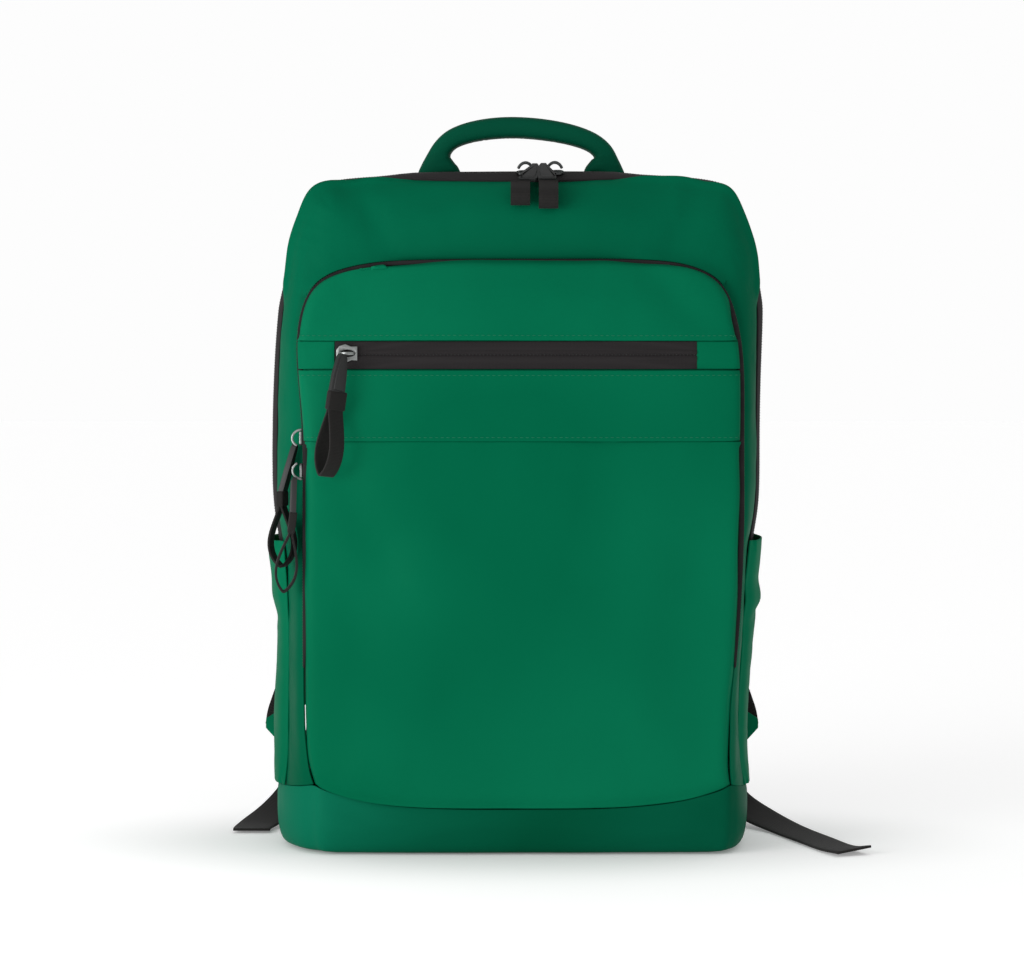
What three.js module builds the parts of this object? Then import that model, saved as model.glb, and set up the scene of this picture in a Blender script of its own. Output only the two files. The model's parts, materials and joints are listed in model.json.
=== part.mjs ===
// A laptop backpack standing on its base: coated green cloth, black zips and webbing.
// Millimetres, +Z up, the front faces -Y, and the origin is the middle of the flat base.
import * as THREE from 'three';

// Overall sizes
const bodyHeight = 442;   // base to the crown of the main zip
const halfWidth = 160;    // half the width of the body
const bodyDepth = 140;    // back panel to the front face
const zipPlane = -8;      // the main zip's middle, measured from the base's middle

// Cloth, seams and zips
const cloth = 2;
const gap = 0.3;          // between neighbouring pieces
const backPad = 8;
const backCrown = 3;      // the padded back swells this much
const backInset = 0.955;  // the back's outline, as a share of the body's
const backDrop = 12;      // the back's top edge below the crown
const mainZipSide = 15;   // front half of the main zip's tape on the sides
const mainZipCrown = 19;  // the same at the crown, where the hood sags
const mainZipBack = 9;
const edgeRoll = 6;       // radius of the front compartment's soft edge
const sideLedge = 10;     // how far the compartment's zip stands out on the sides
const topLedge = 5;
const zipTape = 1.5;
const pocketZipRecess = 1.2;
const pocketZipLow = 315;
const pocketZipHigh = 333;
const pocketZipLeft = -114;
const pocketZipRight = 119;
const compartmentZipEnd = 122;
const flapSeam = 268.5;
const flapLift = 1.4;     // the flap's hem stands over the lower cloth

// Bottle pockets
const pocketTop = 202;
const pocketSwell = 8;
const pocketFront = -36;
const pocketBack = 46;

// Boot
const bootRim = 41;

// Handle, straps and webbing
const handleDepth = 24;
const handleSetBack = 25;
const strapPad = 9;
const strapStandOff = 34;
const webbing = 25;
const webbingThick = 1.8;
const hemThick = 4.6;
const lockWidth = 34;
const lockHeight = 30;
const lockThick = 5;
const lockBar = 4;
const tabThick = 3;

// Sliders and pulls
const sliderLong = 12;
const sliderWide = 8;
const sliderPlate = 3;
const bridgeHigh = 6.5;
const pullWide = 9;
const pullThick = 2.6;

// Seam lines seen from the front, bottom to top. Heights are shares of bodyHeight and
// the rest are shares of halfWidth: the main zip and the compartment's edge.
const sideRows = [
  { zipHigh: 0.093, zipLeft: 0.971, zipRight: 0.972, edgeHigh: 0.103, edgeLeft: 0.806, edgeRight: 0.894 },
  { zipHigh: 0.136, zipLeft: 0.938, zipRight: 0.938, edgeHigh: 0.136, edgeLeft: 0.831, edgeRight: 0.881 },
  { zipHigh: 0.215, zipLeft: 0.931, zipRight: 0.934, edgeHigh: 0.215, edgeLeft: 0.841, edgeRight: 0.888 },
  { zipHigh: 0.294, zipLeft: 0.931, zipRight: 0.944, edgeHigh: 0.294, edgeLeft: 0.844, edgeRight: 0.909 },
  { zipHigh: 0.373, zipLeft: 0.934, zipRight: 0.956, edgeHigh: 0.373, edgeLeft: 0.844, edgeRight: 0.925 },
  { zipHigh: 0.441, zipLeft: 0.942, zipRight: 0.973, edgeHigh: 0.441, edgeLeft: 0.844, edgeRight: 0.933 },
  { zipHigh: 0.509, zipLeft: 0.977, zipRight: 1.01, edgeHigh: 0.509, edgeLeft: 0.844, edgeRight: 0.937 },
  { zipHigh: 0.6, zipLeft: 0.979, zipRight: 1.01, edgeHigh: 0.6, edgeLeft: 0.842, edgeRight: 0.935 },
  { zipHigh: 0.679, zipLeft: 0.974, zipRight: 1.013, edgeHigh: 0.679, edgeLeft: 0.857, edgeRight: 0.937 },
  { zipHigh: 0.747, zipLeft: 0.964, zipRight: 1.019, edgeHigh: 0.742, edgeLeft: 0.871, edgeRight: 0.93 },
  { zipHigh: 0.81, zipLeft: 0.949, zipRight: 1.025, edgeHigh: 0.79, edgeLeft: 0.856, edgeRight: 0.904 },
  { zipHigh: 0.871, zipLeft: 0.925, zipRight: 1.008, edgeHigh: 0.824, edgeLeft: 0.822, edgeRight: 0.871 },
  { zipHigh: 0.916, zipLeft: 0.895, zipRight: 0.974, edgeHigh: 0.848, edgeLeft: 0.753, edgeRight: 0.813 },
  { zipHigh: 0.954, zipLeft: 0.852, zipRight: 0.93, edgeHigh: 0.862, edgeLeft: 0.64, edgeRight: 0.725 },
  { zipHigh: 0.983, zipLeft: 0.812, zipRight: 0.89, edgeHigh: 0.869, edgeLeft: 0.5, edgeRight: 0.62 },
];

// The same two lines over the crown, left to right
const crownRows = [
  { zipAcross: -0.66, zipHigh: 0.993, edgeAcross: -0.34, edgeHigh: 0.871 },
  { zipAcross: -0.35, zipHigh: 0.999, edgeAcross: -0.16, edgeHigh: 0.872 },
  { zipAcross: 0.04, zipHigh: 1, edgeAcross: 0.06, edgeHigh: 0.872 },
  { zipAcross: 0.42, zipHigh: 1, edgeAcross: 0.28, edgeHigh: 0.872 },
  { zipAcross: 0.74, zipHigh: 0.994, edgeAcross: 0.46, edgeHigh: 0.872 },
];

// How far the front face and the back stand from the zip plane, as shares of bodyDepth
const depthRows = [
  { high: 0.06, front: 0.436, back: 0.507 },
  { high: 0.18, front: 0.462, back: 0.514 },
  { high: 0.34, front: 0.479, back: 0.514 },
  { high: 0.5, front: 0.473, back: 0.511 },
  { high: 0.61, front: 0.457, back: 0.504 },
  { high: 0.71, front: 0.436, back: 0.489 },
  { high: 0.81, front: 0.386, back: 0.468 },
  { high: 0.872, front: 0.318, back: 0.45 },
  { high: 0.98, front: 0.2, back: 0.421 },
];

// Swell of the bottle pockets over the wall, as shares of pocketSwell
const pocketRows = [
  { high: 0.093, left: 0.05, right: 0.05 },
  { high: 0.13, left: 0.7, right: 0.5 },
  { high: 0.21, left: 0.8, right: 0.65 },
  { high: 0.28, left: 0.62, right: 0.8 },
  { high: 0.337, left: 0.5, right: 0.78 },
  { high: 0.362, left: 0.62, right: 1.12 },
  { high: 0.395, left: 0.68, right: 0.95 },
  { high: 0.457, left: 0.75, right: 0.85 },
];

// Soft dents and folds of the front. Places and lengths are shares of halfWidth, angle is
// in degrees from level, and depth is a share of foldDepth, with dents negative.
const foldDepth = 3;
const folds = [
  { across: -0.62, high: 1.05, along: 0.4, wide: 0.16, angle: -52, depth: -0.8 },
  { across: -0.5, high: 0.62, along: 0.5, wide: 0.22, angle: 60, depth: 0.6 },
  { across: 0.62, high: 0.42, along: 0.45, wide: 0.2, angle: 20, depth: -0.7 },
  { across: 0.2, high: 1.1, along: 0.6, wide: 0.3, angle: 8, depth: 0.5 },
  { across: -0.66, high: 2.2, along: 0.3, wide: 0.15, angle: 40, depth: -0.6 },
  { across: 0.76, high: 2.55, along: 0.3, wide: 0.13, angle: -65, depth: -0.9 },
  { across: -0.62, high: 2.6, along: 0.3, wide: 0.13, angle: 55, depth: -0.8 },
];

const green = new THREE.MeshStandardMaterial({ color: 0x04663f, roughness: 0.5, metalness: 0 });
const darkGreen = new THREE.MeshStandardMaterial({ color: 0x03523a, roughness: 0.55, metalness: 0 });
const meshBlack = new THREE.MeshStandardMaterial({ color: 0x1f2221, roughness: 0.9, metalness: 0 });
const zipBlack = new THREE.MeshStandardMaterial({ color: 0x2b292a, roughness: 0.75, metalness: 0 });
const webBlack = new THREE.MeshStandardMaterial({ color: 0x2e2c29, roughness: 0.85, metalness: 0 });
const rubber = new THREE.MeshStandardMaterial({ color: 0x353636, roughness: 0.6, metalness: 0 });
const silver = new THREE.MeshStandardMaterial({ color: 0x9da09f, roughness: 0.35, metalness: 1 });
const plastic = new THREE.MeshStandardMaterial({ color: 0x1c1d1d, roughness: 0.45, metalness: 0 });

const backpack = new THREE.Group();
backpack.name = 'laptop_backpack';

function addMesh(name, geometry, material, parent = backpack) {
  const mesh = new THREE.Mesh(geometry, material.clone());
  mesh.name = name;
  parent.add(mesh);
  return mesh;
}

// A smooth value along evenly spaced stations, for t from 0 to 1
function trackOf(values) {
  return (t) => {
    const place = THREE.MathUtils.clamp(t, 0, 1) * (values.length - 1);
    const i = Math.min(Math.floor(place), values.length - 2);
    const f = place - i;
    const here = values[i];
    const next = values[i + 1];
    const before = values[i - 1] ?? 2 * here - next;
    const after = values[i + 2] ?? 2 * next - here;
    const pull = 2 * before - 5 * here + 4 * next - after;
    const twist = -before + 3 * here - 3 * next + after;
    return here + 0.5 * f * (next - before + f * (pull + f * twist));
  };
}

// A smooth value through table rows, looked up by one column
function profileOf(rows, from, to) {
  const at = rows.map((row) => row[from]);
  const value = rows.map((row) => row[to]);
  const slope = at.map((_, i) => {
    const low = Math.max(i - 1, 0);
    const high = Math.min(i + 1, at.length - 1);
    return (value[high] - value[low]) / (at[high] - at[low]);
  });
  return (x) => {
    const place = THREE.MathUtils.clamp(x, at[0], at[at.length - 1]);
    const i = Math.min(at.findLastIndex((a) => a <= place), at.length - 2);
    const span = at[i + 1] - at[i];
    const f = (place - at[i]) / span;
    const rise = value[i + 1] - value[i];
    const bendA = slope[i] * span - rise;
    const bendB = rise - slope[i + 1] * span;
    return value[i] + rise * f + f * (1 - f) * (bendA * (1 - f) + bendB * f);
  };
}

const stations = [
  ...sideRows.map((r) => ({
    zipX: -r.zipLeft, zipZ: r.zipHigh, edgeX: -r.edgeLeft, edgeZ: r.edgeHigh,
  })),
  ...crownRows.map((r) => ({
    zipX: r.zipAcross, zipZ: r.zipHigh, edgeX: r.edgeAcross, edgeZ: r.edgeHigh,
  })),
  ...[...sideRows].reverse().map((r) => ({
    zipX: r.zipRight, zipZ: r.zipHigh, edgeX: r.edgeRight, edgeZ: r.edgeHigh,
  })),
];
const zipX = trackOf(stations.map((s) => s.zipX * halfWidth));
const zipZ = trackOf(stations.map((s) => s.zipZ * bodyHeight));
const edgeX = trackOf(stations.map((s) => s.edgeX * halfWidth));
const edgeZ = trackOf(stations.map((s) => s.edgeZ * bodyHeight));
const sideEnd = (sideRows.length - 1) / (stations.length - 1);
const frontOut = profileOf(depthRows, 'high', 'front');
const backOut = profileOf(depthRows, 'high', 'back');
const smooth = THREE.MathUtils.smoothstep;

// Where the shell's panels have their sections: along the arch, and from seam to seam
const archStations = Array.from({ length: 52 }, (_, i) => i / 51);
const hoodRows = [0, 0.1, 0.3, 0.55, 0.8, 1];
const zipRows = [0, 0.5, 1];
const gussetRows = [0, 0.45, 0.8, 0.94, 1];

// How much a station belongs to the top of the bag, from 0 on the sides to 1
const topness = (t) => smooth(zipZ(t), 0.84 * bodyHeight, 0.97 * bodyHeight);

// The compartment's edge moved outwards by a distance in the plane of the front
function edgeOut(t, distance) {
  const step = 0.004;
  const a = Math.max(t - step, 0);
  const b = Math.min(t + step, 1);
  const run = new THREE.Vector2(edgeX(b) - edgeX(a), edgeZ(b) - edgeZ(a)).normalize();
  return { x: edgeX(t) - run.y * distance, z: edgeZ(t) + run.x * distance };
}

function backLine(t) {
  const drop = backDrop * smooth(zipZ(t), 0.86 * bodyHeight, 0.97 * bodyHeight) + 1;
  return { x: zipX(t) * backInset, z: zipZ(t) - drop };
}

function relief(x, z) {
  let sum = 0;
  for (const fold of folds) {
    const turn = THREE.MathUtils.degToRad(fold.angle);
    const dx = x / halfWidth - fold.across;
    const dz = z / halfWidth - fold.high;
    const along = (dx * Math.cos(turn) + dz * Math.sin(turn)) / fold.along;
    const across = (dz * Math.cos(turn) - dx * Math.sin(turn)) / fold.wide;
    sum += fold.depth * foldDepth * Math.exp(-along * along - across * across);
  }
  return sum;
}

// The front face without its rolled edge
function faceY(x, z) {
  const crossDrop = 3 * (x / halfWidth) ** 4;
  return zipPlane - frontOut(z / bodyHeight) * bodyDepth + crossDrop;
}

const faceEdgeY = (t) => faceY(edgeX(t), edgeZ(t)) + edgeRoll;

function ledge(t) {
  const rise = smooth(edgeZ(t), 0.25 * bodyHeight, 0.36 * bodyHeight);
  return rise * THREE.MathUtils.lerp(sideLedge, topLedge, smooth(edgeZ(t), 0.78 * bodyHeight, 0.86 * bodyHeight));
}

const hoodReach = (t) => zipPlane - faceEdgeY(t) - ledge(t);

// Quarter of a rounded square: how far the seam has come in when it is the share u deep
const corner = (u, square) => 1 - (1 - Math.min(u, 1) ** square) ** (1 / square);

// The main shell in front of the zip plane, by its depth in front of that plane
function hoodPoint(t, depth) {
  const u = depth / hoodReach(t);
  const inwards = corner(u, THREE.MathUtils.lerp(1.6, 2.6, topness(t)));
  const edge = edgeOut(t, gap);
  return new THREE.Vector3(
    THREE.MathUtils.lerp(zipX(t), edge.x, inwards),
    zipPlane - depth,
    THREE.MathUtils.lerp(zipZ(t), edge.z, inwards),
  );
}

// The main shell behind the zip plane
const backReach = (t) => backOut(zipZ(t) / bodyHeight) * bodyDepth;
function gussetPoint(t, depth) {
  const inwards = corner(depth / backReach(t), 2.4);
  const line = backLine(t);
  return new THREE.Vector3(
    THREE.MathUtils.lerp(zipX(t), line.x, inwards),
    zipPlane + depth,
    THREE.MathUtils.lerp(zipZ(t), line.z, inwards),
  );
}
const shellPoint = (t, depth) => (depth >= 0 ? hoodPoint(t, depth) : gussetPoint(t, -depth));

function mainZipFront(t) {
  const sag = 1 - Math.min(1, Math.abs(zipX(t) - 0.06 * halfWidth) / (0.55 * halfWidth)) ** 2;
  const crown = THREE.MathUtils.lerp(mainZipSide * 0.8, mainZipCrown, sag);
  return THREE.MathUtils.lerp(mainZipSide, crown, topness(t));
}

// Depths of the three panels of the shell, from one seam to the next
const hoodDepth = (t, b) => THREE.MathUtils.lerp(hoodReach(t), mainZipFront(t) + gap / 2, b);
const zipDepth = (t, b) => THREE.MathUtils.lerp(mainZipFront(t) - gap / 2, gap / 2 - mainZipBack, b);
const gussetDepth = (t, b) => THREE.MathUtils.lerp(mainZipBack + gap / 2, backReach(t), b);

// Closed solid from a grid of outer points and a grid of inner ones, row by row
function solidFromGrids(outer, inner) {
  const rows = outer.length;
  const columns = outer[0].length;
  const positions = [...outer.flat(), ...inner.flat()].flatMap((p) => [p.x, p.y, p.z]);
  const out = (i, j) => i * columns + j;
  const inn = (i, j) => rows * columns + i * columns + j;
  const index = [];
  const quad = (a, b, c, d) => index.push(a, b, c, a, c, d);
  for (let i = 0; i < rows - 1; i++) {
    for (let j = 0; j < columns - 1; j++) {
      quad(out(i, j), out(i, j + 1), out(i + 1, j + 1), out(i + 1, j));
      quad(inn(i, j), inn(i + 1, j), inn(i + 1, j + 1), inn(i, j + 1));
    }
    quad(out(i, 0), out(i + 1, 0), inn(i + 1, 0), inn(i, 0));
    quad(out(i + 1, columns - 1), out(i, columns - 1), inn(i, columns - 1), inn(i + 1, columns - 1));
  }
  for (let j = 0; j < columns - 1; j++) {
    quad(out(0, j + 1), out(0, j), inn(0, j), inn(0, j + 1));
    quad(out(rows - 1, j), out(rows - 1, j + 1), inn(rows - 1, j + 1), inn(rows - 1, j));
  }
  return facingOut(positions, index);
}

function facingOut(positions, index) {
  const at = (i) => new THREE.Vector3(...positions.slice(3 * i, 3 * i + 3));
  let volume = 0;
  for (let i = 0; i < index.length; i += 3) {
    volume += at(index[i]).dot(at(index[i + 1]).cross(at(index[i + 2])));
  }
  if (volume < 0) {
    for (let i = 0; i < index.length; i += 3) {
      [index[i + 1], index[i + 2]] = [index[i + 2], index[i + 1]];
    }
  }
  const geometry = new THREE.BufferGeometry();
  geometry.setAttribute('position', new THREE.Float32BufferAttribute(positions, 3));
  geometry.setIndex(index);
  geometry.computeVertexNormals();
  return geometry;
}

// A sewn panel: surface(a, b) for a and b from 0 to 1 is its outer face, and side is 1
// where the outward normal is the a direction crossed with the b direction
function panel(surface, across, up, thick, side, trim = (inner) => inner) {
  const step = 0.002;
  const normalAt = (a, b) => {
    const a0 = Math.max(a - step, 0);
    const a1 = Math.min(a + step, 1);
    const b0 = Math.max(b - step, 0);
    const b1 = Math.min(b + step, 1);
    const da = surface(a1, b).sub(surface(a0, b));
    const db = surface(a, b1).sub(surface(a, b0));
    return da.cross(db).normalize().multiplyScalar(side);
  };
  const outer = up.map((b) => across.map((a) => surface(a, b)));
  const inner = up.map((b, i) => across.map((a, j) => {
    const point = outer[i][j].clone().addScaledVector(normalAt(a, b), -thick);
    return trim(point, outer[i][j], a, b);
  }));
  return solidFromGrids(outer, inner);
}

// Keeps a cut edge in its own plane, so that it meets its neighbour square
const levelEnds = (inner, outer, a) => (a === 0 || a === 1 ? inner.setZ(outer.z) : inner);

const evenly = (count) => Array.from({ length: count + 1 }, (_, i) => i / count);
const towardsEnds = (count) => evenly(count).map((u) => 0.5 - 0.5 * Math.cos(Math.PI * u));

// The station at which one of the seam lines reaches a height, on one side
function stationAt(line, height, right) {
  let low = 0;
  let high = sideEnd;
  for (let i = 0; i < 40; i++) {
    const middle = (low + high) / 2;
    if (line(right ? 1 - middle : middle) < height) {
      low = middle;
    } else {
      high = middle;
    }
  }
  return right ? 1 - low : low;
}

// The front face with its edge rolled back to the seam
function frontPoint(x, z, lift = 0) {
  const left = edgeX(stationAt(edgeZ, z, false));
  const right = edgeX(stationAt(edgeZ, z, true));
  const near = Math.max(Math.min(x - left, right - x), 0);
  const sideways = 1 - Math.min(near / edgeRoll, 1);
  const upwards = 1 - Math.min((edgeZ(0.5) - z) / edgeRoll, 1);
  const roll = Math.min(Math.hypot(sideways, upwards), 1);
  const back = edgeRoll * (1 - Math.sqrt(1 - roll * roll));
  const y = faceY(x, z) + back - (relief(x, z) + lift) * (1 - roll);
  return new THREE.Vector3(x, y, z);
}

// Keeps the cut edge beside the compartment's zip in the plane of the front
function squareSides(inner, outer, a, b) {
  if (a === 0 || a === 1) {
    return inner.set(outer.x + (a ? -cloth : cloth), outer.y, outer.z);
  }
  return b === 0 || b === 1 ? inner.setZ(outer.z) : inner;
}

// One cloth of the front, between two heights that may depend on the place across
function frontPanel(low, high, columns, rows, lift = () => 0) {
  const surface = (a, b) => {
    const guess = THREE.MathUtils.lerp(low(a), high(a), b);
    const left = edgeX(stationAt(edgeZ, guess, false));
    const right = edgeX(stationAt(edgeZ, guess, true));
    return frontPoint(THREE.MathUtils.lerp(left, right, a), guess, lift(b));
  };
  return panel(surface, columns, rows, cloth, 1, squareSides);
}

const bottomSeam = (a) => 0.068 * bodyHeight + 0.035 * bodyHeight * Math.abs(2 * a - 1) ** 4;

function makeFront() {
  const columns = towardsEnds(15);
  const flapTop = pocketZipLow - gap - 0.5;
  addMesh('front_lower', frontPanel(
    (a) => bottomSeam(a) + gap,
    () => flapSeam - gap,
    columns, towardsEnds(13),
  ), green);
  addMesh('front_flap', frontPanel(
    () => flapSeam,
    () => flapTop,
    columns, evenly(3),
    (b) => flapLift * (1 - b),
  ), green);
  addMesh('front_upper', frontUpper(columns), green);
}

// The upper cloth of the compartment, whose top edge is the curved zip line
function frontUpper(columns) {
  const low = pocketZipHigh + gap;
  const start = stationAt(edgeZ, low, false);
  const sideStations = archStations.filter((t) => edgeZ(t) > low + 3 && t < sideEnd - 0.01);
  const sides = [start, ...sideStations];
  const rows = sides.map((t) => columns.map((a) => frontPoint(
    THREE.MathUtils.lerp(edgeX(t), edgeX(1 - t), a),
    THREE.MathUtils.lerp(edgeZ(t), edgeZ(1 - t), a),
  )));
  const crown = columns.map((a) => THREE.MathUtils.lerp(sideEnd, 1 - sideEnd, a));
  rows.push(crown.map((t) => new THREE.Vector3(edgeX(t), faceEdgeY(t), edgeZ(t))));
  const inPlane = (t, y) => {
    const edge = edgeOut(t, -cloth);
    return new THREE.Vector3(edge.x, y, edge.z);
  };
  const last = rows.length - 1;
  const inner = rows.map((row, i) => row.map((p, j) => {
    if (i === last) {
      return inPlane(crown[j], p.y);
    }
    if (j === 0 || j === row.length - 1) {
      return inPlane(j ? 1 - sides[i] : sides[i], p.y);
    }
    const across = row[j + 1].clone().sub(row[j - 1]);
    const up = rows[i + 1][j].clone().sub(rows[Math.max(i - 1, 0)][j]);
    const point = p.clone().addScaledVector(across.cross(up).normalize(), -cloth);
    return i ? point : point.setZ(p.z);
  }));
  return solidFromGrids(rows, inner);
}

// The level zip across the face, and the cloth that goes on beside its ends
function makePocketZip() {
  const recessed = (from, to) => (a, b) => {
    const z = THREE.MathUtils.lerp(pocketZipLow, pocketZipHigh - gap, b);
    const left = edgeX(stationAt(edgeZ, z, false));
    const right = edgeX(stationAt(edgeZ, z, true));
    const x = THREE.MathUtils.lerp(from ?? left, to ?? right, a);
    return frontPoint(x, z, -pocketZipRecess);
  };
  const rows = evenly(2);
  const squareAt = (end) => (inner, outer, a, b) => squareSides(inner, outer, a === end ? a : 0.5, b);
  const tape = recessed(pocketZipLeft, pocketZipRight);
  addMesh('pocket_zip', panel(tape, evenly(8), rows, zipTape, 1), zipBlack);
  const left = recessed(null, pocketZipLeft - gap);
  const right = recessed(pocketZipRight + gap, null);
  addMesh('zip_end_left', panel(left, [0, 0.1, 0.28, 1], rows, zipTape, 1, squareAt(0)), green);
  addMesh('zip_end_right', panel(right, [0, 0.75, 0.92, 1], rows, zipTape, 1, squareAt(1)), green);
}

// The compartment's zip: a ribbon that stands back from the rolled edge to the main shell
function makeCompartmentZip() {
  const from = stationAt(edgeZ, compartmentZipEnd, false);
  const surface = (t, b) => {
    const y = THREE.MathUtils.lerp(faceEdgeY(t) + gap, faceEdgeY(t) + ledge(t) + zipTape, b);
    return new THREE.Vector3(edgeX(t), y, edgeZ(t));
  };
  const within = archStations.filter((t) => t > from + 0.005 && t < 1 - from - 0.005);
  const along = [from, ...within, 1 - from];
  addMesh('compartment_zip', panel(surface, along, [0, 1], zipTape, 1), zipBlack);
}

function makeShell() {
  const hood = (a, b) => {
    const point = hoodPoint(a, hoodDepth(a, b));
    const middle = Math.sin(Math.PI * b);
    point.y -= relief(point.x, point.z) * middle * topness(a);
    return point;
  };
  const squareEdge = (inner, outer, a, b) => {
    return b === 0 ? inner.set(outer.x, outer.y + cloth, outer.z) : levelEnds(inner, outer, a);
  };
  addMesh('hood', panel(hood, archStations, hoodRows, cloth, 1, squareEdge), green);
  const zip = (a, b) => shellPoint(a, zipDepth(a, b));
  addMesh('main_zip', panel(zip, archStations, zipRows, cloth, 1, levelEnds), zipBlack);
  const gusset = (a, b) => gussetPoint(a, gussetDepth(a, b));
  addMesh('back_gusset', panel(gusset, archStations, gussetRows, cloth, 1, levelEnds), green);
}

function makeBack() {
  const outlineAt = (t) => {
    const line = backLine(t);
    return { x: line.x, z: line.z, y: zipPlane + backReach(t) };
  };
  const clear = 2 * gap;
  const across = evenly(8);
  const sides = archStations.filter((t) => t < sideEnd - 0.01);
  const rows = sides.map((t) => across.map((a) => {
    const left = outlineAt(t);
    const right = outlineAt(1 - t);
    const crown = backCrown * (1 - (2 * a - 1) ** 2) * Math.sin(Math.PI * Math.min(t / sideEnd + 0.05, 1));
    return new THREE.Vector3(
      THREE.MathUtils.lerp(left.x, right.x, a) + clear * (1 - 2 * a),
      THREE.MathUtils.lerp(left.y, right.y, a) + crown,
      THREE.MathUtils.lerp(left.z, right.z, a),
    );
  }));
  rows.push(across.map((a) => {
    const point = outlineAt(THREE.MathUtils.lerp(sideEnd, 1 - sideEnd, a));
    return new THREE.Vector3(point.x + clear * (1 - 2 * a), point.y, point.z - clear);
  }));
  const inner = rows.map((row) => row.map((p) => new THREE.Vector3(p.x, p.y - backPad, p.z)));
  addMesh('back_panel', solidFromGrids(rows, inner), meshBlack);
}

// The boot's rim follows the lower ends of everything that stands on it
function rimPoints() {
  const front = towardsEnds(15).map((a) => {
    const z = bottomSeam(a) + gap;
    const left = edgeX(stationAt(edgeZ, z, false));
    const right = edgeX(stationAt(edgeZ, z, true));
    return frontPoint(THREE.MathUtils.lerp(left, right, a), z);
  });
  const side = (t) => {
    const hood = hoodRows.slice(1, -1).map((b) => hoodDepth(t, b));
    const zip = zipRows.map((b) => zipDepth(t, b));
    const gusset = gussetRows.slice(1, -1).map((b) => -gussetDepth(t, b));
    return [...hood, ...zip, ...gusset].map((depth) => shellPoint(t, depth));
  };
  const rear = evenly(8).map((a) => {
    const line = backLine(0);
    const y = zipPlane + backReach(0) + 0.5 * (1 - (2 * a - 1) ** 2);
    return new THREE.Vector3(THREE.MathUtils.lerp(backLine(1).x, line.x, a), y, line.z);
  });
  return [...front, ...side(1), ...rear, ...side(0).reverse()];
}

function makeBoot() {
  const rim = rimPoints().map((p) => p.setZ(p.z - gap));
  const count = rim.length;
  const inwards = rim.map((p, i) => {
    const run = rim[(i + 1) % count].clone().sub(rim[(i + count - 1) % count]).setZ(0).normalize();
    return new THREE.Vector3(-run.y, run.x, 0);
  });
  const levels = [
    { high: 1, inset: 0 },
    { high: 0.6, inset: -0.5 },
    { high: 0.26, inset: 0.5 },
    { high: 0.08, inset: 3 },
    { high: 0, inset: 7.5 },
  ];
  const ring = (level, thick) => rim.map((p, i) => {
    const z = Math.max(p.z * level.high, thick);
    return p.clone().addScaledVector(inwards[i], level.inset + thick).setZ(z);
  });
  const outer = levels.map((level) => ring(level, 0));
  const inner = levels.map((level) => ring(level, cloth));
  inner[0].forEach((p, i) => p.setZ(rim[i].z));
  const positions = [...outer.flat(), ...inner.flat()].flatMap((p) => [p.x, p.y, p.z]);
  const base = levels.length * count;
  const index = [];
  const quad = (a, b, c, d) => index.push(a, b, c, a, c, d);
  for (let j = 0; j < count; j++) {
    const k = (j + 1) % count;
    for (let i = 0; i < levels.length - 1; i++) {
      const row = i * count;
      quad(row + k, row + j, row + count + j, row + count + k);
      quad(base + row + j, base + row + k, base + row + count + k, base + row + count + j);
    }
    quad(j, k, base + k, base + j);
  }
  const floorRing = (levels.length - 1) * count;
  const middle = (points) => points.reduce((sum, p) => sum.add(p), new THREE.Vector3()).divideScalar(count);
  const under = middle(outer[levels.length - 1]);
  const inside = middle(inner[levels.length - 1]);
  positions.push(under.x, under.y, under.z, inside.x, inside.y, inside.z);
  for (let j = 0; j < count; j++) {
    const k = (j + 1) % count;
    index.push(floorRing + k, floorRing + j, 2 * base);
    index.push(base + floorRing + j, base + floorRing + k, 2 * base + 1);
  }
  addMesh('boot', facingOut(positions, index), darkGreen);
}

// Bottle pockets: a cloth over the side wall, sewn at the front, back and bottom
function makeSidePockets() {
  for (const right of [false, true]) {
    const swell = profileOf(pocketRows, 'high', right ? 'right' : 'left');
    const surface = (a, b) => {
      const z = THREE.MathUtils.lerp(bootRim + 1.2, pocketTop, b);
      const y = THREE.MathUtils.lerp(pocketFront, pocketBack, a);
      const t = stationAt(zipZ, z, right);
      const wall = shellPoint(t, zipPlane - y);
      const step = shellPoint(t, zipPlane - y - 1);
      const run = step.sub(wall).setZ(0).normalize();
      const outwards = new THREE.Vector3(run.y, -run.x, 0).multiplyScalar(right ? 1 : -1);
      const round = Math.sin(Math.PI * a) ** 0.6;
      const away = cloth + gap + (a > 0 && a < 1 ? swell(z / bodyHeight) * pocketSwell * round : 0);
      return wall.addScaledVector(outwards, away).setZ(z);
    };
    const name = right ? 'side_pocket_right' : 'side_pocket_left';
    addMesh(name, panel(surface, evenly(8), evenly(10), cloth, right ? 1 : -1), green);
  }
}

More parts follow.
